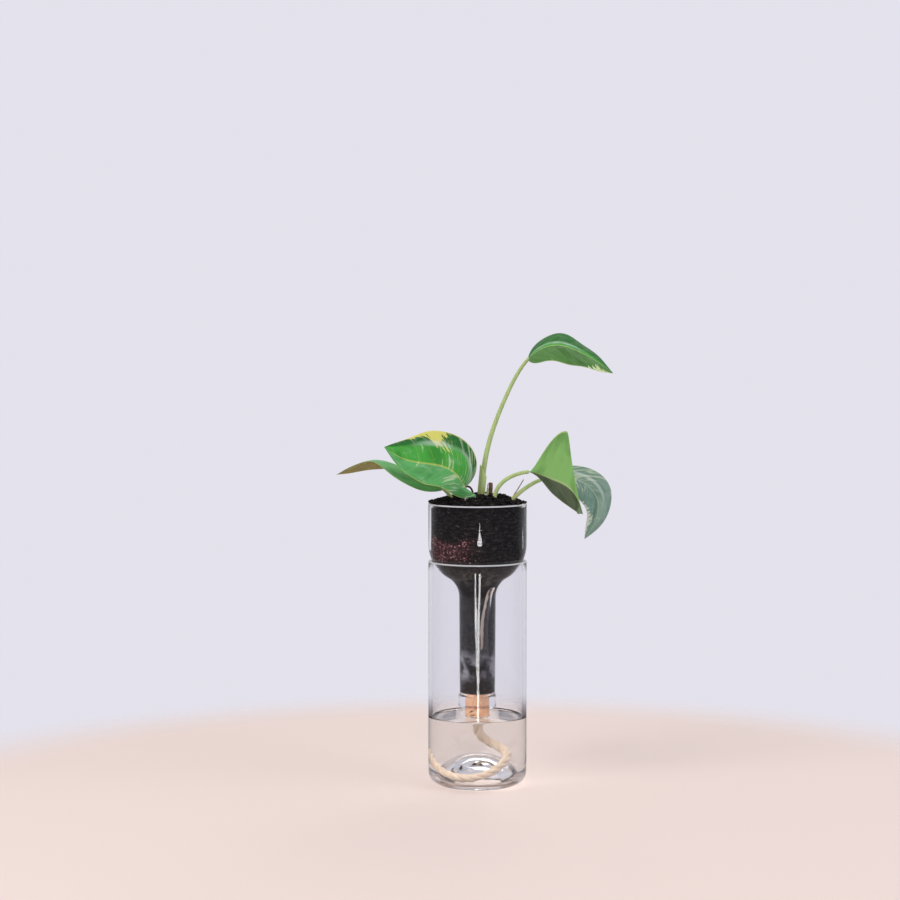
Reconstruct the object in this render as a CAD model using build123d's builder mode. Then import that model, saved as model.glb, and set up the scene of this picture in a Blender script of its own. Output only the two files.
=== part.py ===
"""Self-watering bottle planter: a cut bottle whose neck half stands upside down in its base half.

The base half holds water. The neck half holds potting soil and a young trailing house plant.
A cotton wick runs from the soil through a drilled cork in the neck down into the water.
Units are millimetres, +Z is up, and the origin is the centre of the ring that the base stands on.
"""

import os
from dataclasses import dataclass
from math import cos, pi, radians, sin, sqrt, tan

from build123d import *

# Bottle glass
BOTTLE_DIAMETER = 75.0
GLASS_WALL = 3.0
RIM_FILLET = 0.8

# Base half, the water reservoir
RESERVOIR_HEIGHT = 171.0
HEEL_RADIUS = 10.0
INNER_HEEL_RADIUS = 8.0
BASE_THICKNESS = 5.0
PUNT_RADIUS = 19.0
PUNT_HEIGHT = 20.0

# Neck half, the pot
POT_STRAIGHT_WALL = 31.0
SHOULDER_RADIUS = 30.0
SHOULDER_ANGLE = 60.0
NECK_DIAMETER = 28.0
NECK_LENGTH = 84.0
NECK_TAPER = 0.5
NECK_BORE = 20.0
LIP_DIAMETER = 28.8
LIP_HEIGHT = 9.0
LIP_FILLET = 1.0
MOUTH_BORE = 18.5
MOUTH_LENGTH = 22.0
SEAT_GAP = 0.2

# Drilled cork and its wick
CORK_LENGTH = 18.5
CORK_INSERTION = 10.0
CORK_CLEARANCE = 0.06
CORK_FILLET = 0.8
WICK_DIAMETER = 6.0
WICK_CLEARANCE = 0.2
WICK_BED_GAP = 0.4

# Water and soil
WATER_OVER_CORK_FOOT = 0.9
WATER_GAP = 0.1
SOIL_GAP = 0.15
SOIL_BELOW_RIM = 0.5
SOIL_CROWN = 7.0

# Plant
STEM_DEPTH = 9.0
STEM_CLEARANCE = 0.1
PETIOLE_STATIONS = 6
LEAF_THICKNESS = 0.8
SHEATH_HEIGHT = 32.0
SHEATH_WALL = 0.8
SHEATH_GAP = 0.05
STUB_PLACE = (10.0, 4.5)
STUB_DIAMETER = 3.4
STUB_HEIGHT = 16.0
BRACT_PLACE = (7.6, -3.8)
BRACT_DIAMETER = 3.6
BRACT_TIP_DIAMETER = 0.8
BRACT_HEIGHT = 15.5
ROOT_DIAMETER = 1.8
TWIG_DIAMETER = 0.8

# Route of the wick in the pot: across, back and above the upper end of the neck
WICK_IN_POT = [
    (7.0, -4.4, 14.0),
    (4.6, -4.2, 0.0),
    (1.8, -3.6, -16.0),
    (1.6, -2.6, -38.0),
    (0.0, 0.0, -58.0),
]

# Route of the wick in the water: across and back, then the share of the way up from the floor to the cork
WICK_PLACES = [
    (0.0, 0.0),
    (1.4, 2.4),
    (6.4, 4.6),
    (12.8, 3.2),
    (17.8, -2.4),
    (18.4, -11.0),
    (13.8, -19.4),
    (5.6, -26.0),
    (-5.4, -28.2),
    (-16.8, -23.2),
    (-25.0, -13.2),
    (-28.4, -0.8),
    (-26.4, 11.0),
]
WICK_RISE_SHARES = [0.848, 0.705, 0.578, 0.478, 0.393, 0.294, 0.18, 0.08, 0.028, 0.033, 0.104, 0.215, 0.322]

# Route of the loose root: across, back and above the middle of the soil's edge
ROOT_ROUTE = [(-2.5, 3.5, -4.5), (-2.6, 3.8, 6.5), (-6.0, 4.6, 14.0), (-13.0, 6.0, 10.5), (-15.0, 6.5, -4.5)]

# Route of the dry twig: beyond the inside of the wall, back and above the soil's edge
TWIG_ROUTE = [(-11.5, 2.0, -4.5), (-9.0, 1.5, 3.5), (-3.5, 0.5, 11.5), (0.5, 0.0, 18.5)]


@dataclass
class Leaf:
    """One leaf, placed above the middle of the pot's rim.

    stalk runs from the soil to the blade's base, and midrib from there to the blade's tip.
    across points from the midrib to the leaf's first half: at the blade's base, middle and tip.
    widths and lifts are the half widths and the fold angles of the first and the second half.
    powers say how the width rises from the base and falls to the tip; a large first one makes a pointed base.
    """

    name: str
    stalk: list
    midrib: list
    across: tuple
    widths: tuple
    lifts: tuple
    powers: tuple
    root_diameter: float
    neck_diameter: float


LEAVES = [
    Leaf(
        name="top",
        stalk=[(2.7, 0, 6), (5.5, 1, 31), (12.4, 2, 58), (20.7, 3, 79), (29, 4, 96), (39.4, 4, 110.5)],
        midrib=[(51, 2, 118.5), (62, 0, 120), (75, -3, 116), (88, -6, 109), (102, -9, 99)],
        across=((0.0, 0.88, 0.47), (0.05, 0.89, 0.44), (0.1, 0.9, 0.4)),
        widths=(19.0, 22.0),
        lifts=(6.0, -4.0),
        powers=(0.6, 0.95),
        root_diameter=4.4,
        neck_diameter=2.6,
    ),
    Leaf(
        name="right",
        stalk=[(11.9, -14, 1), (14.8, -13, 11.5), (22.8, -11, 19.5), (31.5, -8, 23), (38.7, -5.5, 24)],
        midrib=[(46, -8, 22.8), (57, -10.5, 18.5), (67, -12, 13.8), (75, -12.5, 5), (79.4, -12.5, -7.3)],
        across=((0.0, 0.05, 1.0), (0.06, 0.05, 1.0), (-0.3, 0.1, 0.95)),
        widths=(40.8, 18.6),
        lifts=(0.0, -39.0),
        powers=(1.57, 1.26),
        root_diameter=3.6,
        neck_diameter=2.8,
    ),
    Leaf(
        name="far_right",
        stalk=[(22.9, -8, 0), (32.2, -4, 8.5), (41.5, 2, 14.5), (49, 8, 17.5), (60, 14.5, 18.5)],
        midrib=[(72, 17, 18), (84, 18, 12.5), (92, 17, 2), (91.5, 14, -11), (82, 9, -28)],
        across=((0.2, 0.7, 0.68), (0.75, 0.5, 0.35), (0.8, 0.4, -0.3)),
        widths=(16.0, 16.0),
        lifts=(10.0, 10.0),
        powers=(0.45, 0.95),
        root_diameter=3.6,
        neck_diameter=2.6,
    ),
    Leaf(
        name="left",
        stalk=[(-6, -10, 0), (-8, -14.5, 7), (-11, -18.5, 14.5)],
        midrib=[(-17, -22, 24), (-26, -24, 29), (-40, -24.5, 31.5), (-56, -23, 35), (-70, -20, 43.5)],
        across=((0.6, 0.4, 0.55), (0.17, 0.45, 0.85), (0.0, 0.5, 0.86)),
        widths=(28.0, 18.0),
        lifts=(-4.0, -10.0),
        powers=(0.45, 0.95),
        root_diameter=3.2,
        neck_diameter=2.6,
    ),
    Leaf(
        name="lower_left",
        stalk=[(-16.4, -10, 0), (-21, -6, 6), (-27, -1, 11.5)],
        midrib=[(-45, 2, 21), (-62, 4, 29), (-79, 6, 32.5), (-95, 7, 27.5), (-108, 8, 21)],
        across=((0.0, 0.6, 0.8), (0.0, 0.92, -0.4), (0.0, 0.35, -0.94)),
        widths=(16.0, 14.0),
        lifts=(-6.0, 40.0),
        powers=(0.9, 1.2),
        root_diameter=3.2,
        neck_diameter=2.4,
    ),
]

# Cross-sections of a blade, as shares of the way from its base to its tip
BLADE_STATIONS = [0.0, 0.06, 0.18, 0.34, 0.54, 0.74, 0.9, 1.0]
NARROWEST_SHARE = 0.05

# Radii and heights that follow from the sizes above
bottle_radius = BOTTLE_DIAMETER / 2
inner_radius = bottle_radius - GLASS_WALL
wick_radius = WICK_DIAMETER / 2
wick_hole_diameter = WICK_DIAMETER + 2 * WICK_CLEARANCE
cork_radius = MOUTH_BORE / 2 - CORK_CLEARANCE
punt_sphere_radius = (PUNT_RADIUS**2 + PUNT_HEIGHT**2) / (2 * PUNT_HEIGHT)
punt_sphere_z = PUNT_HEIGHT - punt_sphere_radius
seat_reach = SHOULDER_RADIUS + RIM_FILLET + SEAT_GAP
seat_offset = inner_radius + RIM_FILLET - (bottle_radius - SHOULDER_RADIUS)
shoulder_z = RESERVOIR_HEIGHT - RIM_FILLET + sqrt(seat_reach**2 - seat_offset**2)
pot_rim_z = shoulder_z + POT_STRAIGHT_WALL
soil_edge_z = pot_rim_z - SOIL_BELOW_RIM


@dataclass
class Shoulder:
    """Ends of the two tangent arcs that lead the pot's wall into its neck, as radius and height."""

    wall: tuple
    middle: tuple
    neck: tuple


def shoulder(inset, neck_radius):
    """The shoulder arcs of a face that lies inset from the outside of the glass."""
    turn = radians(SHOULDER_ANGLE)
    wall_radius = bottle_radius - inset
    arc_radius = SHOULDER_RADIUS - inset
    middle_radius = wall_radius - arc_radius * (1 - cos(turn))
    middle_z = shoulder_z - arc_radius * sin(turn)
    blend_radius = (middle_radius - neck_radius) / (1 - cos(turn))
    neck_z = middle_z - blend_radius * sin(turn)
    return Shoulder((wall_radius, shoulder_z), (middle_radius, middle_z), (neck_radius, neck_z))


outer_shoulder = shoulder(0, NECK_DIAMETER / 2)
lip_z = outer_shoulder.neck[1] - NECK_LENGTH
cork_top_z = lip_z + CORK_INSERTION
cork_bottom_z = cork_top_z - CORK_LENGTH
water_level = cork_bottom_z + WATER_OVER_CORK_FOOT
wick_bed_z = BASE_THICKNESS + wick_radius + WICK_BED_GAP


def draw_reservoir_inside(inset, top_z):
    """Draws the reservoir's inner face, moved inwards by inset, from top_z to the axis; returns its ends."""
    floor_z = BASE_THICKNESS + inset
    dome_radius = punt_sphere_radius + floor_z
    valley_radius = sqrt(dome_radius**2 - (floor_z - punt_sphere_z) ** 2)
    wall_radius = inner_radius - inset
    wall = Line((wall_radius, top_z), (wall_radius, BASE_THICKNESS + INNER_HEEL_RADIUS))
    heel = TangentArc(wall @ 1, (inner_radius - INNER_HEEL_RADIUS, floor_z), tangent=(0, -1))
    valley = Line(heel @ 1, (valley_radius, floor_z))
    dome = TangentArc((0, punt_sphere_z + dome_radius), valley @ 1, tangent=(1, 0))
    return wall @ 0, dome @ 0


def draw_pot_inside(inset, top_z, bottom_z):
    """Draws the pot's inner face, moved inwards by inset, from top_z down to bottom_z; returns its ends."""
    arcs = shoulder(GLASS_WALL + inset, NECK_BORE / 2 - inset)
    mouth_radius = MOUTH_BORE / 2 - inset
    wall = Line((arcs.wall[0], top_z), arcs.wall)
    swell = TangentArc(wall @ 1, arcs.middle, tangent=wall % 1)
    waist = TangentArc(swell @ 1, arcs.neck, tangent=swell % 1)
    throat = Line(waist @ 1, (mouth_radius, lip_z + MOUTH_LENGTH))
    mouth = Line(throat @ 1, (mouth_radius, bottom_z))
    return wall @ 0, mouth @ 1


def circles_at(built, index):
    """The circular edges of a part at one of its heights, counted from the lowest."""
    return built.edges().filter_by(GeomType.CIRCLE).group_by(Axis.Z)[index]


def corner_radii(points):
    """The radius at each inner point of a route: as large as the two runs beside it allow."""
    radii = []
    for before, here, after in zip(points, points[1:], points[2:]):
        run_in = Vector(here) - Vector(before)
        run_out = Vector(after) - Vector(here)
        half_turn = radians(run_in.get_angle(run_out)) / 2
        radii.append(0.45 * min(run_in.length, run_out.length) / tan(half_turn))
    return radii


def route(points, radii):
    """A path of straight runs joined by tangent arcs."""
    with BuildLine():
        path = FilletPolyline(*points, radius=radii)
    return path


def tube(path, diameter):
    """A round tube along a path."""
    with BuildPart() as made:
        with BuildSketch(Plane(origin=path @ 0, z_dir=path % 0)):
            Circle(diameter / 2)
        sweep(path=path)
    return made.part


def tapered_stem(axis, end, diameters):
    """A round stem along an axis up to its share end, through evenly spaced circles."""
    with BuildPart() as made:
        for index, diameter in enumerate(diameters):
            station = end * index / (len(diameters) - 1)
            with BuildSketch(Plane(origin=axis @ station, z_dir=axis % station)):
                Circle(diameter / 2)
        loft()
    return made.part


def leaf_axis(leaf):
    """The leaf's axis as a spline that starts below the soil, and the blade's base as a share of it."""
    stalk, midrib = ([Vector(x, y, z + pot_rim_z) for x, y, z in run] for run in (leaf.stalk, leaf.midrib))
    root = stalk[0] - (stalk[1] - stalk[0]).normalized() * STEM_DEPTH
    with BuildLine() as line:
        Spline(root, *stalk, *midrib)
    axis = line.edges()[0]
    return axis, axis.param_at_point(stalk[-1])


def petiole(leaf, grow=0.0):
    """The stalk of a leaf, from its root to the base of its blade, with its radius enlarged by grow."""
    axis, end = leaf_axis(leaf)
    step = (leaf.neck_diameter - leaf.root_diameter) / (PETIOLE_STATIONS - 1)
    diameters = [leaf.root_diameter + step * index + 2 * grow for index in range(PETIOLE_STATIONS)]
    return tapered_stem(axis, end, diameters)


def blade_section(leaf, width_share):
    """Corners of a blade's cross-section: along its upper face, then back along its lower face."""
    upper = [(0.0, 0.0)]
    for side, width, lift in zip((1, -1), leaf.widths, leaf.lifts):
        turn = radians(lift)
        reach = width * width_share
        edge = (side * reach * cos(turn), reach * sin(turn))
        upper.insert(0 if side > 0 else len(upper), edge)
    lower = [(x, y - LEAF_THICKNESS) for x, y in reversed(upper)]
    return upper + lower


def width_share(leaf, share):
    """The blade's width at a share of the way from its base to its tip, as a share of its full width."""
    rise, fall = leaf.powers
    widest = rise / (rise + fall)
    return max(NARROWEST_SHARE, (share / widest) ** rise * ((1 - share) / (1 - widest)) ** fall)


def across_at(leaf, share):
    """The direction from the midrib to the leaf's first half at a share of the way to the tip."""
    base, middle, tip = (Vector(*direction) for direction in leaf.across)
    start, end, way = (base, middle, 2 * share) if share < 0.5 else (middle, tip, 2 * share - 1)
    return (start + (end - start) * way).normalized()


def blade(leaf):
    """The blade of a leaf: a thin folded sheet lofted along the midrib."""
    axis, start = leaf_axis(leaf)
    with BuildPart() as made:
        for share in BLADE_STATIONS:
            station = start + (1 - start) * share
            across = across_at(leaf, share)
            tangent = axis % station
            facing = tangent - across * across.dot(tangent)
            with BuildSketch(Plane(origin=axis @ station, x_dir=across, z_dir=facing)):
                with BuildLine():
                    Polyline(*blade_section(leaf, width_share(leaf, share)), close=True)
                make_face()
        loft()
    return made.part


def soil_route(points, start_x):
    """A path through points given from start_x and above the soil's edge."""
    placed = [(start_x + x, y, soil_edge_z + z) for x, y, z in points]
    return route(placed, corner_radii(placed))


# Reservoir: the base half of the bottle, with a punt and a smooth rim
with BuildPart() as reservoir:
    with BuildSketch(Plane.XZ):
        with BuildLine():
            foot = Line((PUNT_RADIUS, 0), (bottle_radius - HEEL_RADIUS, 0))
            heel = TangentArc(foot @ 1, (bottle_radius, HEEL_RADIUS), tangent=foot % 1)
            outside = Line(heel @ 1, (bottle_radius, RESERVOIR_HEIGHT))
            inside_top, dome_top = draw_reservoir_inside(0, RESERVOIR_HEIGHT)
            Line(outside @ 1, inside_top)
            Line(dome_top, (0, PUNT_HEIGHT))
            TangentArc((0, PUNT_HEIGHT), foot @ 0, tangent=(1, 0))
        make_face()
    revolve(axis=Axis.Z)
    fillet(circles_at(reservoir, -1), RIM_FILLET)

# Pot: the neck half of the bottle, upside down, its shoulder seated in the reservoir's rim
with BuildPart() as pot:
    with BuildSketch(Plane.XZ):
        with BuildLine():
            outside = Line((bottle_radius, pot_rim_z), outer_shoulder.wall)
            swell = TangentArc(outside @ 1, outer_shoulder.middle, tangent=outside % 1)
            waist = TangentArc(swell @ 1, outer_shoulder.neck, tangent=swell % 1)
            neck = Line(waist @ 1, (NECK_DIAMETER / 2 - NECK_TAPER, lip_z + LIP_HEIGHT))
            lip_step = Line(neck @ 1, (LIP_DIAMETER / 2, lip_z + LIP_HEIGHT))
            lip_side = Line(lip_step @ 1, (LIP_DIAMETER / 2, lip_z))
            inside_top, mouth_end = draw_pot_inside(0, pot_rim_z, lip_z)
            Line(lip_side @ 1, mouth_end)
            Line(inside_top, outside @ 0)
        make_face()
    revolve(axis=Axis.Z)
    fillet(circles_at(pot, -1), RIM_FILLET)
    fillet(circles_at(pot, 0), LIP_FILLET)

# Cork: a drilled stopper in the mouth of the neck
with BuildPart() as cork:
    with BuildSketch(Plane.XY.offset(cork_bottom_z)):
        Circle(cork_radius)
    extrude(amount=CORK_LENGTH)
    fillet(cork.edges().filter_by(GeomType.CIRCLE), CORK_FILLET)
    with BuildSketch(Plane.XY.offset(cork_bottom_z)):
        Circle(wick_hole_diameter / 2)
    extrude(amount=CORK_LENGTH, mode=Mode.SUBTRACT)

# Wick: one cotton cord, held in the soil and the cork, then free in the water
wick_exit = (0.0, 0.0, cork_bottom_z)
wick_drop = cork_bottom_z - wick_bed_z
held_points = [(x, y, outer_shoulder.neck[1] + z) for x, y, z in WICK_IN_POT]
free_points = [(x, y, wick_bed_z + share * wick_drop) for (x, y), share in zip(WICK_PLACES, WICK_RISE_SHARES)]
wick_radii = corner_radii(held_points + free_points)
held_corners = len(WICK_IN_POT) - 1
held_path = route(held_points + [wick_exit], wick_radii[:held_corners])
free_path = route([wick_exit] + free_points, wick_radii[held_corners:])
wick_in_pot = tube(held_path, WICK_DIAMETER)
wick_tail = tube(free_path, WICK_DIAMETER)
held_hole = tube(held_path, wick_hole_diameter)
free_hole = tube(free_path, wick_hole_diameter)

# Water: fills the reservoir to its level, around the wick and the foot of the cork
with BuildPart() as water:
    with BuildSketch(Plane.XZ):
        with BuildLine():
            shore, dome_top = draw_reservoir_inside(WATER_GAP, water_level)
            Polyline(shore, (0, water_level), dome_top)
        make_face()
    revolve(axis=Axis.Z)
    with BuildSketch(Plane.XY.offset(cork_bottom_z - WATER_GAP)):
        Circle(cork_radius + WATER_GAP)
    extrude(amount=CORK_LENGTH, mode=Mode.SUBTRACT)
    add(free_hole, mode=Mode.SUBTRACT)

# Leaves: five blades on their petioles, each petiole rooted in the soil
petioles = [petiole(leaf) for leaf in LEAVES]
blades = [blade(leaf) for leaf in LEAVES]
petiole_holes = [petiole(leaf, STEM_CLEARANCE) for leaf in LEAVES]

# Stem sheath: the old leaf base that wraps the foot of the top leaf's petiole
top_leaf = LEAVES[0]
top_axis = leaf_axis(top_leaf)[0]
sheath_end = SHEATH_HEIGHT / top_axis.length
sheath_diameter = top_leaf.root_diameter + 2 * (SHEATH_GAP + SHEATH_WALL)
sheath_hole_diameter = sheath_diameter + 2 * STEM_CLEARANCE
sheath_core = petiole(top_leaf, SHEATH_GAP)
sheath_body = tapered_stem(top_axis, sheath_end, [sheath_diameter] * PETIOLE_STATIONS)
sheath_hole = tapered_stem(top_axis, sheath_end, [sheath_hole_diameter] * PETIOLE_STATIONS)
with BuildPart() as stem_sheath:
    add(sheath_body)
    add(sheath_core, mode=Mode.SUBTRACT)

# Stem stub and bract: a cut brown stem and a young leaf's point beside the sheath
with BuildPart() as stem_stub:
    with Locations((*STUB_PLACE, soil_edge_z - STEM_DEPTH)):
        Cylinder(STUB_DIAMETER / 2, STEM_DEPTH + STUB_HEIGHT, align=(Align.CENTER, Align.CENTER, Align.MIN))
with BuildPart() as bract:
    with Locations((*BRACT_PLACE, soil_edge_z - STEM_DEPTH)):
        Cone(
            BRACT_DIAMETER / 2,
            BRACT_TIP_DIAMETER / 2,
            STEM_DEPTH + BRACT_HEIGHT,
            align=(Align.CENTER, Align.CENTER, Align.MIN),
        )

# Loose root and dry twig, both stuck in the soil
root_path = soil_route(ROOT_ROUTE, 0.0)
twig_path = soil_route(TWIG_ROUTE, inner_radius)
loose_root = tube(root_path, ROOT_DIAMETER)
dry_twig = tube(twig_path, TWIG_DIAMETER)
root_hole = tube(root_path, ROOT_DIAMETER + 2 * STEM_CLEARANCE)
twig_hole = tube(twig_path, TWIG_DIAMETER + 2 * STEM_CLEARANCE)

# Soil: fills the pot down to the cork, heaped in the middle, around the wick and all that is rooted in it
with BuildPart() as soil:
    with BuildSketch(Plane.XZ):
        with BuildLine():
            soil_edge, soil_foot = draw_pot_inside(SOIL_GAP, soil_edge_z, cork_top_z + SOIL_GAP)
            Polyline(soil_foot, (0, soil_foot.Y), (0, soil_edge_z + SOIL_CROWN))
            TangentArc((0, soil_edge_z + SOIL_CROWN), soil_edge, tangent=(1, 0))
        make_face()
    revolve(axis=Axis.Z)
    add([held_hole, sheath_hole, root_hole, twig_hole, *petiole_holes], mode=Mode.SUBTRACT)
    with Locations((*STUB_PLACE, soil_edge_z)):
        Cylinder(STUB_DIAMETER / 2 + STEM_CLEARANCE, 2 * STEM_DEPTH, mode=Mode.SUBTRACT)
    with Locations((*BRACT_PLACE, soil_edge_z)):
        Cylinder(BRACT_DIAMETER / 2 + STEM_CLEARANCE, 2 * STEM_DEPTH, mode=Mode.SUBTRACT)

pieces = {
    "reservoir": reservoir.part,
    "pot": pot.part,
    "cork": cork.part,
    "wick_in_pot": wick_in_pot,
    "wick_tail": wick_tail,
    "water": water.part,
    "soil": soil.part,
    "stem_sheath": stem_sheath.part,
    "stem_stub": stem_stub.part,
    "bract": bract.part,
    "loose_root": loose_root,
    "dry_twig": dry_twig,
}
for leaf, stalk, sheet in zip(LEAVES, petioles, blades):
    pieces[f"petiole_{leaf.name}"] = stalk
    pieces[f"leaf_{leaf.name}"] = sheet

os.makedirs("parts", exist_ok=True)
for name, piece in pieces.items():
    piece.label = name
    export_step(piece, f"parts/{name}.step")

print("wick corner radii, mm:", [round(radius, 1) for radius in wick_radii])
for name, path in (("wick_in_pot", held_path), ("wick_tail", free_path)):
    ideal = pi * wick_radius**2 * path.length
    print(f"{name}: {path.length:.1f} mm long, volume {pieces[name].volume:.1f} of {ideal:.1f} mm3")
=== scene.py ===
"""Looks of the self-watering bottle planter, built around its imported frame.

Lengths are written in millimetres and become metres when a mesh is made.
Colours are written as red, green and blue from 0 to 255.
"""

from dataclasses import dataclass
from math import cos, pi, radians, sin, tau

import bmesh
import bpy
import numpy as np
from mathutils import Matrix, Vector, noise


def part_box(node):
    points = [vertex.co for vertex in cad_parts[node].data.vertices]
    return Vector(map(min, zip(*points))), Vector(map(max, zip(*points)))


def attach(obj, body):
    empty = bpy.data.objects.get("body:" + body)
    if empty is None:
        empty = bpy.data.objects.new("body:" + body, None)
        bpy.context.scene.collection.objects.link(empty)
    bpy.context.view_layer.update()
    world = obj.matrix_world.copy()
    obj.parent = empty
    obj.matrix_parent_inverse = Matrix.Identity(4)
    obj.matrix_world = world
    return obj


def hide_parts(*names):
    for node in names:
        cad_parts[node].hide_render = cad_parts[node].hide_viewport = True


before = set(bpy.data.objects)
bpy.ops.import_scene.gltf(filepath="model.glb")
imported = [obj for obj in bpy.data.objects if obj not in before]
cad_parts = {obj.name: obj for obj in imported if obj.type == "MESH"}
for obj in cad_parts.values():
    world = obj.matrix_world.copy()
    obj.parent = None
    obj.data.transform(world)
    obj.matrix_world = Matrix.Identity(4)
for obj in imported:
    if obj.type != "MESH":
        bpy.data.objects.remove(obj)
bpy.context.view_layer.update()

MM = 0.001
scene = bpy.context.scene
random = np.random.default_rng(7)

# Camera
CAMERA_PLACE = (0.0, -1520.0, 326.0)
CAMERA_TURN = (87.34, 0.0, 0.79)
CAMERA_LENS = 80.0

# Bottle glass
GLASS_WALL = 3.0
RIM_FILLET = 0.8
HEEL_RADIUS = 10.0
INNER_HEEL_RADIUS = 8.0
BASE_THICKNESS = 5.0
PUNT_RADIUS = 19.0
PUNT_HEIGHT = 20.0
POT_STRAIGHT_WALL = 31.0
SHOULDER_RADIUS = 30.0
SHOULDER_ANGLE = 60.0
NECK_DIAMETER = 28.0
NECK_TAPER = 0.5
NECK_BORE = 20.0
NECK_LENGTH = 84.0
LIP_DIAMETER = 28.8
LIP_HEIGHT = 9.0
LIP_FILLET = 1.0
LIP_TOP_FILLET = 0.4
MOUTH_BORE = 18.5
MOUTH_LENGTH = 22.0
GLASS_SEGMENTS = 192
PUNT_STEPS = 24
HEEL_STEPS = 20
SOIL_BELOW_RIM = 0.5

# Wick
WICK_DIAMETER = 6.0
WICK_BED_GAP = 0.4
STRANDS = 3
STRAND_RADIUS = 1.75
STRAND_OFFSET = 1.3
STRAND_PITCH = 21.0
STRAND_SIDES = 16
STRAND_UNEVEN = 0.035
STRAND_BEAT = 1.9
STRAND_SHIFT = 2.1
STRAND_FIBRES = 6
FIBRE_SHIFT = 9
ROPE_ROWS = 260
WICK_IN_POT = [(7.0, -4.4, 14.0), (4.6, -4.2, 0.0), (1.8, -3.6, -16.0), (1.6, -2.6, -38.0), (0.0, 0.0, -58.0)]
WICK_PLACES = [
    *[(0.0, 0.0), (1.4, 2.4), (6.4, 4.6), (12.8, 3.2), (17.8, -2.4), (18.4, -11.0), (13.8, -19.4)],
    *[(5.6, -26.0), (-5.4, -28.2), (-16.8, -23.2), (-25.0, -13.2), (-28.4, -0.8), (-26.4, 11.0)],
]
WICK_RISE_SHARES = [0.848, 0.705, 0.578, 0.478, 0.393, 0.294, 0.18, 0.08, 0.028, 0.033, 0.104, 0.215, 0.322]


def frame_box(node):
    """The lowest and the highest corner of a node of the frame, in millimetres."""
    low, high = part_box(node)
    return np.array(low) / MM, np.array(high) / MM


# Sizes read from the frame, and those that follow from them
pot_low, pot_top = frame_box("pot")
cork_low, cork_top = frame_box("cork")
bottle_radius, _, reservoir_height = frame_box("reservoir")[1]
water_level = frame_box("water")[1][2]
inner_radius = bottle_radius - GLASS_WALL
pot_rim_z = pot_top[2]
shoulder_z = pot_rim_z - POT_STRAIGHT_WALL
lip_z = pot_low[2]
neck_z = lip_z + NECK_LENGTH
cork_bottom_z = cork_low[2]
cork_top_z = cork_top[2]
cork_radius = cork_top[0]
soil_edge_z = pot_rim_z - SOIL_BELOW_RIM
punt_sphere = (PUNT_RADIUS**2 + PUNT_HEIGHT**2) / (2 * PUNT_HEIGHT)
punt_sphere_z = PUNT_HEIGHT - punt_sphere


# Colours and materials

# Sockets of a mix node that mixes colours
MIX_FACTOR, MIX_FIRST, MIX_SECOND = 0, 6, 7
MIX_RESULT = 2


def colour(red, green, blue):
    """A colour written as it looks on a screen, as the linear colour that a shader takes."""
    shares = np.array([red, green, blue]) / 255
    linear = np.where(shares <= 0.04045, shares / 12.92, ((shares + 0.055) / 1.055) ** 2.4)
    return (*linear, 1.0)


class Nodes:
    """Short ways to add nodes to a shader's tree."""

    def __init__(self, tree):
        self.tree = tree

    def add(self, kind, inputs, output=0, **settings):
        """Adds a node with its inputs set or linked, and returns one of its outputs."""
        node = self.tree.nodes.new("ShaderNode" + kind)
        for name, value in settings.items():
            setattr(node, name, value)
        for name, value in inputs.items():
            if isinstance(value, bpy.types.NodeSocket):
                self.tree.links.new(value, node.inputs[name])
            else:
                node.inputs[name].default_value = value
        return node.outputs[output]

    def parts(self, vector):
        """The three parts of a vector, by name or in turn."""
        return self.add("SeparateXYZ", {"Vector": vector}).node.outputs

    def step(self, value, low, high):
        """A smooth step of a value from 0 at low to 1 at high."""
        inputs = {"Value": value, "From Min": low, "From Max": high}
        return self.add("MapRange", inputs, interpolation_type="SMOOTHSTEP")

    def step_mm(self, value, ends):
        """A smooth step of a length from 0 to 1, between two ends in millimetres."""
        return self.step(value, *[end * MM for end in ends])

    def math(self, operation, first, second=0.0):
        """A function of one or two values."""
        return self.add("Math", {0: first, 1: second}, operation=operation)

    def times(self, first, second):
        """A product of two values."""
        return self.math("MULTIPLY", first, second)

    def plus(self, first, second):
        """A sum of two values."""
        return self.math("ADD", first, second)

    def off(self, value, middle):
        """How far a value is from a middle, on either side."""
        return self.math("ABSOLUTE", self.math("SUBTRACT", value, middle))

    def length(self, vector):
        """The length of a vector."""
        return self.add("VectorMath", {0: vector}, "Value", operation="LENGTH")

    def mix(self, factor, first, second, blend="MIX"):
        """A mix of two colours, each of them written out or a node's output."""
        inputs = {MIX_FACTOR: factor}
        for socket, value in ((MIX_FIRST, first), (MIX_SECOND, second)):
            inputs[socket] = value if isinstance(value, bpy.types.NodeSocket) else colour(*value)
        return self.add("Mix", inputs, MIX_RESULT, data_type="RGBA", blend_type=blend)


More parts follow.
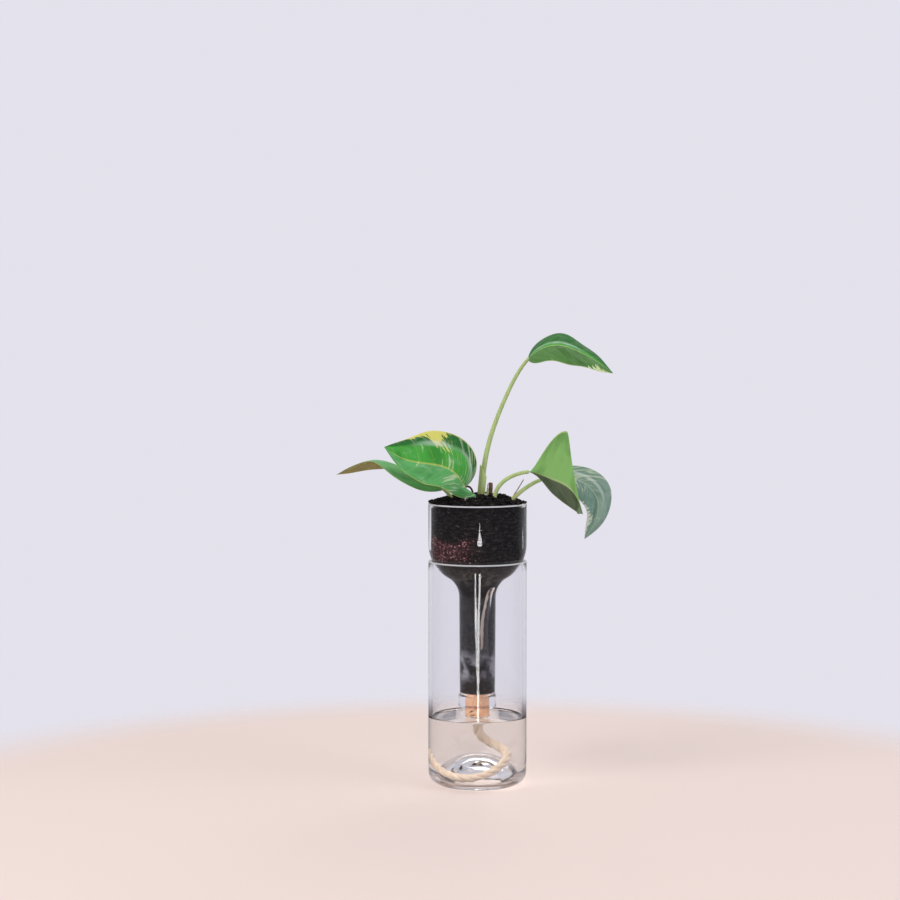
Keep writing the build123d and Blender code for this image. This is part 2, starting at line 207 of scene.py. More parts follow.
class Paint(Nodes):
    """A material with a Principled shader, and short ways to add the patterns that drive it."""

    def __init__(self, name, base, values):
        self.material = bpy.data.materials.new(name)
        self.material.use_nodes = True
        super().__init__(self.material.node_tree)
        self.shader = self.tree.nodes["Principled BSDF"]
        self.shader.inputs["Base Color"].default_value = colour(*base)
        for socket, value in values.items():
            self.shader.inputs[socket].default_value = value
        self.place = self.add("TexCoord", {}, "Object")

    def coordinate(self, axis):
        """One coordinate of the place of a point."""
        return self.parts(self.place)[axis]

    def attribute(self, name, output):
        """A value that the mesh has at each of its points."""
        return self.add("Attribute", {}, output, attribute_name=name)

    def stretch(self, scale, place=None):
        """Coordinates stretched by a scale for each direction."""
        return self.add("Mapping", {"Vector": place or self.place, "Scale": scale})

    def noise(self, scale, place=None, detail=3.0, roughness=0.55, distortion=0.0):
        """A cloudy pattern from 0 to 1; scale counts its spots in a metre."""
        inputs = {"Vector": place or self.place, "Scale": scale, "Detail": detail}
        inputs.update({"Roughness": roughness, "Distortion": distortion})
        return self.add("TexNoise", inputs)

    def cells(self, scale, output="Distance"):
        """A pattern of cells."""
        return self.add("TexVoronoi", {"Vector": self.place, "Scale": scale}, output)

    def ramp(self, factor, stops):
        """Colours that follow a factor, through stops of a position and a colour."""
        result = self.add("ValToRGB", {"Fac": factor})
        elements = result.node.color_ramp.elements
        while len(elements) < len(stops):
            elements.new(1.0)
        for element, (position, value) in zip(elements, stops):
            element.position = position
            element.color = colour(*value)
        return result

    def drive(self, socket, source):
        """Lets a node's output drive one of the shader's sockets."""
        self.tree.links.new(source, self.shader.inputs[socket])

    def bump(self, height, distance, strength=1.0):
        """Lets a pattern raise and lower the surface by a distance in millimetres."""
        inputs = {"Height": height, "Distance": distance * MM, "Strength": strength}
        self.drive("Normal", self.add("Bump", inputs))


GLASS_IOR = 1.5
GLASS_TINT = (214, 213, 218)
GLASS_DENSITY = 5.0
LUMPY_HEIGHTS = (26.0, 16.0)


def glass_paint(name, lumpy):
    """Clear bottle glass whose thick edges take a little tint, with lumps of a strength at its foot."""
    paint = Paint(name, (253, 253, 254), {"Transmission Weight": 1.0, "IOR": GLASS_IOR, "Roughness": 0.0})
    absorption = paint.add("VolumeAbsorption", {"Color": colour(*GLASS_TINT), "Density": GLASS_DENSITY})
    paint.tree.links.new(absorption, paint.tree.nodes["Material Output"].inputs["Volume"])
    ripple = paint.noise(55.0, paint.stretch((1.0, 1.0, 0.35)), 1.0)
    foot = paint.times(paint.step_mm(paint.coordinate("Z"), LUMPY_HEIGHTS), lumpy)
    lumps = paint.times(paint.noise(160.0, detail=2.0), foot)
    paint.bump(paint.plus(ripple, lumps), 0.15, 0.06)
    return paint.material


def ground_paint():
    """The ground and polished cut of the bottle: bright and a little frosted."""
    values = {"Transmission Weight": 0.35, "IOR": GLASS_IOR, "Roughness": 0.35}
    return Paint("ground_glass", (242, 243, 246), values).material


def water_paint():
    """Still water."""
    values = {"Transmission Weight": 1.0, "IOR": 1.333, "Roughness": 0.0}
    return Paint("water", (252, 252, 250), values).material


def cotton_paint():
    """Twisted cotton: cream, fuzzy, with fine fibres along the strands."""
    paint = Paint("cotton", (236, 214, 190), {"Roughness": 0.95, "Sheen Weight": 0.4, "Sheen Roughness": 0.5})
    fibre = paint.attribute("strand", "Vector")
    lines = paint.noise(1.0, paint.stretch((7.0, 0.5, 1.0), fibre), 4.0, 0.7)
    tone = paint.ramp(lines, [(0.25, (214, 184, 158)), (0.5, (240, 220, 198)), (0.75, (252, 242, 228))])
    cloud = paint.step(paint.noise(160.0), 0.35, 0.8)
    paint.drive("Base Color", paint.mix(cloud, tone, (236, 208, 184)))
    paint.bump(lines, 0.35, 0.9)
    return paint.material


# Height above the lip and soft edges of the painted shade line on the cork
LIP_SHADE_ABOVE_LIP = 1.2
LIP_SHADE_EDGE = (0.9, 0.3)


def cork_paint():
    """Natural cork: warm tan with darker grain, short pores, and a line of painted shade where it leaves the
    glass.
    """
    paint = Paint("cork", (226, 172, 130), {"Roughness": 0.85})
    grain = paint.noise(420.0, detail=5.0, roughness=0.7)
    tone = paint.ramp(grain, [(0.25, (200, 138, 98)), (0.5, (234, 184, 144)), (0.8, (248, 214, 182))])
    ruddy = paint.times(paint.step(paint.noise(130.0), 0.45, 0.65), 0.5)
    tone = paint.mix(ruddy, tone, (226, 140, 104))
    pits = paint.step(paint.noise(190.0, paint.stretch((1.0, 1.0, 3.6)), 3.0, 0.6, 0.6), 0.62, 0.7)
    # Painted shade: a dark line on the cork just inside the glass lip, broken by the grain
    off_line = paint.off(paint.coordinate("Z"), (lip_z + LIP_SHADE_ABOVE_LIP) * MM)
    lip_shade = paint.times(paint.step_mm(off_line, LIP_SHADE_EDGE), paint.step(grain, 0.35, 0.5))
    marks = paint.math("MAXIMUM", pits, paint.times(lip_shade, 0.8))
    paint.drive("Base Color", paint.mix(marks, tone, (104, 58, 40)))
    paint.bump(paint.math("SUBTRACT", paint.times(grain, 0.4), pits), 0.5, 0.8)
    return paint.material


FIBRE_SIDE = (12.0, -22.0)
FIBRE_FOOT = (168.0, 176.0)
FIBRE_TOP = (199.5, 194.5)
FIBRE_UNEVEN = 16.0
MIST_FOOT = (76.0, 86.0)
MIST_TOP = (106.0, 96.0)


def with_fibre(paint, soil):
    """Soil with reddish fibre low on its left, as a tint and as round specks."""
    cell = paint.cells(760.0, "Color")
    lots = paint.parts(cell)
    height = paint.coordinate("Z")
    uneven = paint.plus(height, paint.times(paint.noise(55.0, detail=3.0), FIBRE_UNEVEN * MM))
    band = paint.times(paint.step_mm(height, FIBRE_FOOT), paint.step_mm(uneven, FIBRE_TOP))
    cloud = paint.step(paint.noise(75.0, detail=4.0), 0.1, 0.5)
    left = paint.step_mm(paint.coordinate("X"), FIBRE_SIDE)
    fibre = paint.times(paint.times(left, cloud), band)
    chosen = paint.step(paint.plus(lots["X"], paint.times(fibre, 0.75)), 0.95, 1.1)
    specks = paint.times(chosen, paint.step(cell.node.outputs["Distance"], 0.6, 0.3))
    specks = paint.times(specks, paint.step(fibre, 0.0, 0.3))
    red = paint.ramp(lots["Y"], [(0.0, (92, 54, 60)), (0.6, (136, 86, 90)), (1.0, (196, 150, 148))])
    return paint.mix(specks, paint.mix(paint.times(fibre, 0.55), soil, (80, 50, 54)), red)


def soil_paint():
    """Dark moist potting soil, with reddish fibre low on one side and mist on the glass deep in the neck."""
    paint = Paint("soil", (30, 27, 26), {"Roughness": 0.9, "Specular IOR Level": 0.25})
    tint = paint.attribute("tint", "Fac")
    grain = paint.noise(210.0, paint.stretch((1.0, 1.0, 2.8)), 8.0, 0.78)
    tones = [(0.36, (5, 5, 6)), (0.5, (20, 18, 19)), (0.6, (50, 45, 46)), (0.72, (104, 94, 94))]
    # Pale flecks are painted glints on the grains
    flecks = paint.times(paint.step(paint.noise(900.0, detail=4.0, roughness=0.7), 0.6, 0.68), 0.55)
    soil = paint.mix(flecks, paint.ramp(grain, tones), (118, 106, 102))
    soil = paint.mix(paint.times(tint, 0.3), soil, (74, 60, 51))
    soil = paint.mix(paint.step(tint, 1.5, 2.5), soil, (206, 200, 190))
    soil = with_fibre(paint, soil)
    height = paint.coordinate("Z")
    mist_band = paint.times(paint.step_mm(height, MIST_FOOT), paint.step_mm(height, MIST_TOP))
    mist = paint.times(mist_band, paint.step(paint.noise(95.0, detail=2.0), 0.36, 0.66))
    paint.drive("Base Color", paint.mix(paint.times(mist, 0.75), soil, (190, 188, 200)))
    paint.bump(paint.plus(grain, paint.times(paint.cells(330.0), 1.2)), 1.2, 1.0)
    return paint.material


STALK_FOOT = (20.0, -2.0)
STRIPE_SHARE = 0.93


def stalk_paint(name, young, old):
    """A leaf stalk: pale green with fine stripes along it, in its older colour towards the soil."""
    paint = Paint(name, young, {"Roughness": 0.42, "Subsurface Weight": 0.12, "Subsurface Scale": 2 * MM})
    stripes = paint.noise(700.0, paint.stretch((1.0, 1.0, 0.04)), 1.0)
    streak = paint.mix(paint.step(stripes, 0.4, 0.7), young, [STRIPE_SHARE * x for x in young])
    foot = paint.step_mm(paint.coordinate("Z"), [soil_edge_z + rise for rise in STALK_FOOT])
    aged = paint.times(foot, paint.step(paint.noise(120.0), 0.25, 0.65))
    paint.drive("Base Color", paint.mix(aged, streak, old))
    paint.bump(stripes, 0.05, 0.4)
    return paint.material


def bark_paint(name, dark, light):
    """Dry plant matter: brown, fibrous and dull."""
    paint = Paint(name, dark, {"Roughness": 0.8})
    fibre = paint.noise(700.0, paint.stretch((1.0, 1.0, 0.25)), 5.0, 0.7)
    paint.drive("Base Color", paint.ramp(fibre, [(0.3, dark), (0.7, light)]))
    paint.bump(fibre, 0.5, 0.9)
    return paint.material


LEAF_DEEP = (138, 166, 142)
LEAF_SHADE = (140, 156, 196)
LEAF_PAINTED_SHEEN = (214, 226, 222)
LEAF_STREAK = (214, 224, 184)
UNDERSIDE_SHARE = 0.9

# A painted sheen band and a splash that lie past the leaf's edges, so they don't show
NO_SHEEN = 3.0
NO_SPLASH = (9.0, 0.0, 0.1, 1.0)


@dataclass
class LeafLook:
    """Colours of a leaf blade.

    halves are the colours of its two halves, and pale is that of its marks, its midrib and its margin.
    seed sets its patterns apart from those of the other leaves.
    streaks says how much of the blade has pale marks, and sheen how far off the midrib its painted sheen
    lies.
    shade says how much painted shade darkens the blade beyond that band.
    splash is the largest mark: where it starts along the margin, its slant, its reach and its half,
    which is 1 for the first and -1 for the second.
    """

    halves: tuple
    underside: tuple
    pale: tuple
    seed: float
    streaks: float = 0.18
    sheen: float = NO_SHEEN
    shade: float = 0.0
    splash: tuple = NO_SPLASH


def splash_mark(paint, splash, along, across):
    """A splash that runs slanting inwards from a leaf's margin, with ragged sides."""
    start, slant, reach, half = splash
    outward = paint.times(across, half)
    slanted = paint.math("SUBTRACT", along, paint.times(outward, slant))
    slanted_place = paint.add("CombineXYZ", {"X": slanted, "Y": across})
    fibres = paint.noise(1.0, paint.stretch((30.0, 2.6, 1.0), slanted_place), 3.0, 0.6)
    ragged = paint.plus(paint.off(slanted, start - slant), paint.times(fibres, 5.5 * reach))
    spread = paint.times(paint.math("POWER", paint.math("MAXIMUM", outward, 0.0), 2.5), 2.4 * reach)
    inside = paint.math("SUBTRACT", paint.plus(spread, 2.45 * reach), ragged)
    return paint.times(paint.step(inside, 0.0, 0.025), paint.step(outward, 0.05, 0.25))


def painted_sheen_mark(paint, look, along, across, patches, seeded):
    """Painted sheen: a light band along a leaf, and painted glints where the leaf has many pale marks."""
    band = paint.times(paint.step(paint.off(across, look.sheen), 0.13, 0.02), paint.step(along, 0.75, 0.4))
    band = paint.times(band, paint.step(patches, 0.3, 0.65))
    glints = paint.step(paint.noise(1.0, paint.stretch((5.5, 3.0, 1.0), seeded), 2.0, 0.5, 0.5), 0.55, 0.75)
    return paint.math("MAXIMUM", band, paint.times(glints, 1.6 * look.streaks - 0.3))


def leaf_paint(name, look):
    """A waxy leaf: two green halves with fine veins, pale marks, painted sheen and painted shade, and a dull
    lighter underside.
    """
    first, second = look.halves
    paint = Paint(name, first, {"Coat Weight": 0.15, "Coat Roughness": 0.25, "Specular IOR Level": 0.28})
    blade = paint.attribute("blade", "Vector")
    under = paint.attribute("under", "Fac")
    along, across, veins = paint.parts(blade)
    off_rib = paint.math("ABSOLUTE", across)
    rib = paint.step(off_rib, 0.05, 0.015)
    vein = paint.step(paint.math("PINGPONG", veins, 0.5), 0.07, 0.01)
    vein = paint.times(vein, paint.step(off_rib, 0.95, 0.6))
    seeded = paint.add("VectorMath", {0: blade, 1: (look.seed, 1.7 * look.seed, 0.0)}, operation="ADD")
    patches = paint.noise(1.0, paint.stretch((3.0, 1.3, 0.5), seeded), 2.0, 0.5, 0.3)
    flow = paint.noise(1.0, paint.stretch((2.0, 1.5, 4.0), seeded), 4.0, 0.6, 0.5)

    # Green of each half, darker in soft patches, and with painted shade beyond the painted sheen band
    half = paint.mix(paint.step(across, -0.03, 0.03), second, first)
    deep = paint.mix(1.0, half, LEAF_DEEP, "MULTIPLY")
    shaded = paint.mix(1.0, half, LEAF_SHADE, "MULTIPLY")
    beyond = paint.step(across, look.sheen - 0.04, look.sheen + 0.12)
    upper = paint.mix(paint.times(paint.step(patches, 0.42, 0.75), 0.55), half, deep)
    upper = paint.mix(paint.times(beyond, look.shade), upper, shaded)

    # Marks over the green, each with its strength and colour; one of them is the painted sheen with its
    # glints
    basal = paint.times(paint.step(along, 0.45, 0.25), 0.25 * look.streaks)
    pale_edge = 1.0 - look.streaks
    streak = paint.step(paint.plus(flow, basal), pale_edge, pale_edge + 0.08)
    for mark, strength, tone in (
        (streak, 0.52, LEAF_STREAK),
        (splash_mark(paint, look.splash, along, across), 0.9, look.pale),
        (painted_sheen_mark(paint, look, along, across, patches, seeded), 0.5, LEAF_PAINTED_SHEEN),
        (vein, 0.08, look.pale),
        (rib, 0.4, look.pale),
        (paint.step(off_rib, 0.96, 0.99), 0.6, look.pale),
    ):
        upper = paint.mix(paint.times(mark, strength), upper, tone)

    # Underside
    dull = [UNDERSIDE_SHARE * x for x in look.underside]
    lower = paint.mix(paint.step(patches, 0.2, 0.8), dull, look.underside)
    lower = paint.mix(paint.math("MAXIMUM", paint.times(vein, 0.3), rib), lower, look.pale)
    paint.drive("Base Color", paint.mix(under, upper, lower))
    paint.drive("Roughness", paint.add("MapRange", {"Value": under, "To Min": 0.36, "To Max": 0.6}))
    groove = paint.times(paint.math("MAXIMUM", vein, rib), -0.6)
    speckle = paint.times(paint.noise(900.0, detail=3.0), 0.08)
    paint.bump(paint.plus(groove, speckle), 0.15, 0.4)
    return paint.material


# Shapes

# A direction that no line of the object starts along
ODD_DIRECTION = (0.3, 0.8, 0.5)


def unit(vectors):
    """Vectors brought to a length of 1."""
    return vectors / np.linalg.norm(vectors, axis=-1, keepdims=True)


def way_along(line):
    """How far along a line each of its points lies."""
    return np.concatenate([[0], np.cumsum(np.linalg.norm(np.diff(line, axis=0), axis=1))])


def along_line(where, way, data):
    """Rows of data that belong to the ways along a line, read off at other ways."""
    return np.stack([np.interp(where, way, data[:, axis]) for axis in range(3)], axis=1)


def evenly(line, count):
    """A line's points spaced evenly along it."""
    way = way_along(line)
    return along_line(np.linspace(0, way[-1], count), way, line)


def lathe(profile, closed=False, segments=GLASS_SEGMENTS):
    """Points and faces of a profile of radii and heights turned about the upright axis."""
    turns = np.arange(segments) * tau / segments
    points = []
    rows = []
    for radius, height in profile:
        around = turns if radius > 0 else turns[:1]
        rows.append(range(len(points), len(points) + len(around)))
        points += [(radius * cos(turn), radius * sin(turn), height) for turn in around]
    followers = rows[1:] + rows[:1] if closed else rows[1:]
    faces = []
    for lower, upper in zip(rows, followers):
        for index in range(segments):
            here, after = index, (index + 1) % segments
            corners = [lower[here % len(lower)], lower[after % len(lower)]]
            corners += [upper[after % len(upper)], upper[here % len(upper)]]
            faces.append(list(dict.fromkeys(corners)))
    return np.array(points), faces


def joined(shapes):
    """Several shapes as one."""
    points = []
    faces = []
    for shape_points, shape_faces in shapes:
        start = sum(len(part) for part in points)
        points.append(np.array(shape_points))
        faces += [[start + corner for corner in face] for face in shape_faces]
    return np.concatenate(points), faces


def bend(before, corner, after, radius, steps=6):
    """Points of a smooth bend in place of a profile's corner."""
    before, corner, after = (np.array(place, float) for place in (before, corner, after))
    start = corner + radius * unit(before - corner)
    end = corner + radius * unit(after - corner)
    shares = np.linspace(0, 1, steps)
    return [tuple((1 - t) ** 2 * start + 2 * t * (1 - t) * corner + t**2 * end) for t in shares]


def arc(centre, radius, start, end, steps=14):
    """Points of an arc of a profile, between two angles in degrees from the horizontal."""
    turns = np.radians(np.linspace(start, end, steps))
    return [(centre[0] + radius * cos(turn), centre[1] + radius * sin(turn)) for turn in turns]


def upright(radius_low, low, radius_high, high, steps=24):
    """Points of a straight or slanted wall of a profile."""
    shares = np.linspace(0, 1, steps)
    return [(radius_low + (radius_high - radius_low) * t, low + (high - low) * t) for t in shares]


def rim(outer, inner, height):
    """The rounded rim of a cut and polished bottle wall, from its outer radius to its inner one."""
    below = height - GLASS_WALL
    outside, inside = (outer, height), (inner, height)
    outer_bend = bend((outer, below), outside, inside, RIM_FILLET)
    return outer_bend + bend(outside, inside, (inner, below), RIM_FILLET)


def shoulder(inset, neck_radius, steps=16):
    """The two arcs that lead the pot's wall down into its neck, on a face inset from the outside."""
    turn = radians(SHOULDER_ANGLE)
    swell = SHOULDER_RADIUS - inset
    wall_radius = bottle_radius - inset
    middle_radius = wall_radius - swell * (1 - cos(turn))
    waist = (middle_radius - neck_radius) / (1 - cos(turn))
    waist_z = shoulder_z - (swell + waist) * sin(turn)
    turns = np.linspace(0, turn, steps)
    upper = [(wall_radius - swell * (1 - cos(t)), shoulder_z - swell * sin(t)) for t in turns]
    lower = [(neck_radius + waist * (1 - cos(t)), waist_z + waist * sin(t)) for t in turns[-2::-1]]
    return upper + lower


def reservoir_inside(outset, top_z):
    """The reservoir's inner face from top_z down to the middle of its floor, moved outwards by outset."""
    floor_z = BASE_THICKNESS - outset
    dome_radius = punt_sphere + floor_z
    dome_start = np.degrees(np.arcsin((floor_z - punt_sphere_z) / dome_radius))
    heel_radius = INNER_HEEL_RADIUS + outset
    heel_centre = (inner_radius - INNER_HEEL_RADIUS, BASE_THICKNESS + INNER_HEEL_RADIUS)
    wall = upright(inner_radius + outset, top_z, inner_radius + outset, heel_centre[1])
    heel = arc(heel_centre, heel_radius, 0, -90)
    dome = arc((0, punt_sphere_z), dome_radius, dome_start, 90, PUNT_STEPS)
    dome[-1] = (0.0, dome[-1][1])
    return wall[:-1] + heel + dome


def frames_along(line):
    """Two unit directions across a line at each of its points, that turn as little as they can."""
    ahead = unit(np.gradient(line, axis=0))
    side = np.cross(ahead[0], ODD_DIRECTION)
    sides = []
    for direction in ahead:
        side = unit(side - direction * np.dot(side, direction))
        sides.append(side)
    return np.array(sides), np.cross(ahead, sides)


def tube(line, radii, sides=12):
    """A round tube along a line, with a radius at each of its points and flat ends."""
    right, up = frames_along(line)
    turns = np.arange(sides) * tau / sides
    ring = np.cos(turns)[None, :, None] * right[:, None] + np.sin(turns)[None, :, None] * up[:, None]
    points = line[:, None] + ring * np.array(radii)[:, None, None]
    grid = np.arange(len(line) * sides).reshape(-1, sides)
    after = np.roll(grid, -1, axis=1)
    faces = np.stack([grid[:-1], after[:-1], after[1:], grid[1:]], axis=-1).reshape(-1, 4).tolist()
    faces += [grid[0, ::-1].tolist(), grid[-1].tolist()]
    return points.reshape(-1, 3), faces


def sheet(upper, lower):
    """A thin closed sheet between two grids of points of the same size."""
    rows, columns = upper.shape[:2]
    top = np.arange(rows * columns).reshape(rows, columns)
    under = top + rows * columns

    def quads(grid):
        return np.stack([grid[:-1, :-1], grid[1:, :-1], grid[1:, 1:], grid[:-1, 1:]], axis=-1).reshape(-1, 4)

    def outer_edge(grid):
        return np.concatenate([grid[0, :-1], grid[:-1, -1], grid[-1, :0:-1], grid[:0:-1, 0]])

    edge, under_edge = outer_edge(top), outer_edge(under)
    sides = np.stack([edge, np.roll(edge, -1), np.roll(under_edge, -1), under_edge], axis=-1)
    faces = np.concatenate([quads(top), quads(under)[:, ::-1], sides])
    return np.concatenate([upper.reshape(-1, 3), lower.reshape(-1, 3)]), faces.tolist()


def spline(places):
    """A smooth curve through places: a function of the way along it, and the way to each place."""
    places = np.array(places, float)
    way = way_along(places)
    gaps = np.diff(way)
    slopes = np.diff(places, axis=0) / gaps[:, None]
    system = np.eye(len(places))
    target = np.zeros_like(places)
    for index in range(1, len(places) - 1):
        before, after = gaps[index - 1], gaps[index]
        system[index, index - 1 : index + 2] = before, 2 * (before + after), after
        target[index] = 6 * (slopes[index] - slopes[index - 1])
    bends = np.linalg.solve(system, target)

    def at(where):
        index = np.clip(np.searchsorted(way, where) - 1, 0, len(gaps) - 1)
        left = (where - way[index])[:, None]
        right = (way[index + 1] - where)[:, None]
        gap = gaps[index][:, None]
        cubic = (bends[index] * right**3 + bends[index + 1] * left**3) / (6 * gap)
        start = (places[index] / gap - bends[index] * gap / 6) * right
        end = (places[index + 1] / gap - bends[index + 1] * gap / 6) * left
        return cubic + start + end

    return at, way


def smooth_route(name, places):
    """Points along a smooth curve that has the places as its control points."""
    curve = bpy.data.curves.new(name, "CURVE")
    curve.dimensions = "3D"
    curve.resolution_u = 24
    line = curve.splines.new("NURBS")
    line.points.add(len(places) - 1)
    for point, place in zip(line.points, places):
        point.co = (*(x * MM for x in place), 1.0)
    line.order_u = 3
    line.use_endpoint_u = True
    holder = bpy.data.objects.new(name, curve)
    mesh = bpy.data.meshes.new_from_object(holder)
    found = np.array([vertex.co[:] for vertex in mesh.vertices]) / MM
    bpy.data.objects.remove(holder)
    bpy.data.curves.remove(curve)
    bpy.data.meshes.remove(mesh)
    return found


def add_object(name, shape, material):
    """Adds a mesh of points and faces to the scene."""
    points, faces = shape
    mesh = bpy.data.meshes.new(name)
    mesh.from_pydata((np.array(points) * MM).tolist(), [], faces)
    mesh.materials.append(material)
    item = bpy.data.objects.new(name, mesh)
    scene.collection.objects.link(item)
    return item


def add_piece(name, shape, material, body, nodes=(), values=None):
    """Adds a piece of the object that rides on a body and stands for nodes of the frame."""
    piece = add_object(name, shape, material)
    mesh = piece.data
    for attribute, (kind, field, data) in (values or {}).items():
        layer = mesh.attributes.new(attribute, kind, "POINT")
        layer.data.foreach_set(field, np.array(data, np.float32).ravel())
    shaped = bmesh.new()
    shaped.from_mesh(mesh)
    bmesh.ops.recalc_face_normals(shaped, faces=shaped.faces)
    shaped.to_mesh(mesh)
    shaped.free()
    mesh.shade_smooth()
    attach(piece, body)
    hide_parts(*nodes)
    return piece


# Camera
camera_data = bpy.data.cameras.new("camera")
camera_data.lens = CAMERA_LENS
camera = bpy.data.objects.new("camera", camera_data)
camera.location = [x * MM for x in CAMERA_PLACE]
camera.rotation_euler = [radians(turn) for turn in CAMERA_TURN]
scene.collection.objects.link(camera)
scene.camera = camera


# Wick: three twisted strands, held in the soil and the cork, then free in the water


def rope(line):
    """Twisted strands around a line, and for each point where it lies along and around its strand."""
    line = evenly(line, ROPE_ROWS)
    right, up = frames_along(line)
    way = way_along(line)
    strands = []
    fibres = []
    for strand in range(STRANDS):
        turn = (tau * way / STRAND_PITCH + tau * strand / STRANDS)[:, None]
        middle = line + STRAND_OFFSET * (np.cos(turn) * right + np.sin(turn) * up)
        plump = STRAND_RADIUS * (1 + STRAND_UNEVEN * np.sin(way * STRAND_BEAT + STRAND_SHIFT * strand))
        strands.append(tube(middle, plump, STRAND_SIDES))
        around = np.tile(np.arange(STRAND_SIDES) / STRAND_SIDES, ROPE_ROWS)
        around = around * STRAND_FIBRES + strand * FIBRE_SHIFT
        fibres.append(np.stack([around, np.repeat(way, STRAND_SIDES), np.zeros_like(around)], axis=1))
    return joined(strands), np.concatenate(fibres)


wick_bed_z = BASE_THICKNESS + WICK_DIAMETER / 2 + WICK_BED_GAP
wick_drop = cork_bottom_z - wick_bed_z
wick_exit = (0.0, 0.0, cork_bottom_z)
held_places = [(x, y, neck_z + z) for x, y, z in WICK_IN_POT] + [wick_exit]
free_places = [wick_exit]
for (wick_x, wick_y), rise_share in zip(WICK_PLACES, WICK_RISE_SHARES):
    free_places.append((wick_x, wick_y, wick_bed_z + rise_share * wick_drop))
held_line = smooth_route("held_route", held_places)
free_line = smooth_route("free_route", free_places)
cotton = cotton_paint()
for wick_name, wick_line, wick_node in (
    ("wick_held", held_line, "wick_in_pot"),
    ("wick_free", free_line, "wick_tail"),
):
    wick_shape, wick_fibres = rope(wick_line)
    strand_values = {"strand": ("FLOAT_VECTOR", "vector", wick_fibres)}
    wick_piece = add_piece(wick_name, wick_shape, cotton, "pot", [wick_node], strand_values)

# Bottle glass: the reservoir, lumpy at its foot, and the pot
FOOT_LUMPS = 6.0
punt_edge = np.degrees(np.arcsin(-punt_sphere_z / punt_sphere))
punt = arc((0, punt_sphere_z), punt_sphere, 90, punt_edge, PUNT_STEPS)
punt[0] = (0.0, PUNT_HEIGHT)
heel_middle = (bottle_radius - HEEL_RADIUS, HEEL_RADIUS)
reservoir_profile = punt + arc(heel_middle, HEEL_RADIUS, -90, 0, HEEL_STEPS)
reservoir_profile += upright(bottle_radius, HEEL_RADIUS, bottle_radius, reservoir_height - RIM_FILLET)[1:-1]
reservoir_profile += rim(bottle_radius, inner_radius, reservoir_height)
reservoir_profile += reservoir_inside(0.0, reservoir_height - RIM_FILLET)[1:]
reservoir_glass = glass_paint("reservoir_glass", FOOT_LUMPS)
reservoir_shape = lathe(reservoir_profile)
clear_pieces = [
    add_piece("reservoir_glass", reservoir_shape, reservoir_glass, "reservoir", ["reservoir"])
]

neck_radius = NECK_DIAMETER / 2
mouth_radius = MOUTH_BORE / 2
mouth_top = (mouth_radius, lip_z + MOUTH_LENGTH)
mouth_edge = (mouth_radius, lip_z)
lip_edge = (LIP_DIAMETER / 2, lip_z)
lip_top = (LIP_DIAMETER / 2, lip_z + LIP_HEIGHT)
neck_foot = (neck_radius - NECK_TAPER, lip_z + LIP_HEIGHT)
pot_profile = bend(mouth_edge, lip_edge, lip_top, LIP_FILLET)
pot_profile += bend(lip_edge, lip_top, neck_foot, LIP_TOP_FILLET) + [neck_foot]
pot_profile += upright(*neck_foot, neck_radius, neck_z)[1:-1]
pot_profile += shoulder(0.0, neck_radius)[::-1]
pot_profile += upright(bottle_radius, shoulder_z, bottle_radius, pot_rim_z - RIM_FILLET)[1:-1]
pot_profile += rim(bottle_radius, inner_radius, pot_rim_z)
pot_profile += shoulder(GLASS_WALL, NECK_BORE / 2)
pot_profile += upright(*pot_profile[-1], *mouth_top)[1:]
pot_profile += bend(mouth_top, mouth_edge, lip_edge, LIP_FILLET)
pot_glass = glass_paint("pot_glass", 0.0)
clear_pieces.append(
    add_piece("pot_glass", lathe(pot_profile, closed=True), pot_glass, "pot", ["pot"])
)

# Cut rims: a thin ground skin on the top of each half
GROUND_OUT = 0.03
GROUND_IN = 0.12
ground_glass = ground_paint()
for rim_name, rim_height, rim_body in (
    ("reservoir_rim", reservoir_height, "reservoir"),
    ("pot_rim", pot_rim_z, "pot"),
):
    skin = rim(bottle_radius + GROUND_OUT, inner_radius - GROUND_OUT, rim_height + GROUND_OUT)
    skin += rim(bottle_radius - GROUND_IN, inner_radius + GROUND_IN, rim_height - GROUND_IN)[::-1]
    add_piece(rim_name, lathe(skin, closed=True), ground_glass, rim_body)


# Water: runs a hair into the glass, and climbs a little at the wall and at the cork
WATER_OVERLAP = 0.15
WATER_GAP = 0.05
WATER_FILLET = 0.8
MENISCUS_HEIGHT = 1.1
MENISCUS_WIDTH = 2.6
MENISCUS_STEPS = 10
WATER_STEPS = 12
cork_side = cork_radius + WATER_GAP
cork_shore = cork_side + MENISCUS_WIDTH
wall_side = inner_radius + WATER_OVERLAP
wall_shore = wall_side - MENISCUS_WIDTH
water_foot = (0.0, cork_bottom_z - WATER_GAP)
cork_foot = (cork_side, cork_bottom_z - WATER_GAP)
climb = np.linspace(0, 1, MENISCUS_STEPS)[1:]
water_profile = reservoir_inside(WATER_OVERLAP, water_level + MENISCUS_HEIGHT)[::-1]
water_profile += [
    (wall_side - MENISCUS_WIDTH * t, water_level + MENISCUS_HEIGHT * (1 - t) ** 3) for t in climb
]
water_profile += upright(wall_shore, water_level, cork_shore, water_level, WATER_STEPS)[1:-1]
water_profile += [(cork_side + MENISCUS_WIDTH * (1 - t), water_level + MENISCUS_HEIGHT * t**3) for t in climb]
water_profile += bend((cork_side, water_level), cork_foot, water_foot, WATER_FILLET) + [water_foot]
clear_pieces.append(
    add_piece("water_body", lathe(water_profile), water_paint(), "reservoir", ["water"])
)
for clear_piece in clear_pieces:
    clear_piece.visible_shadow = False


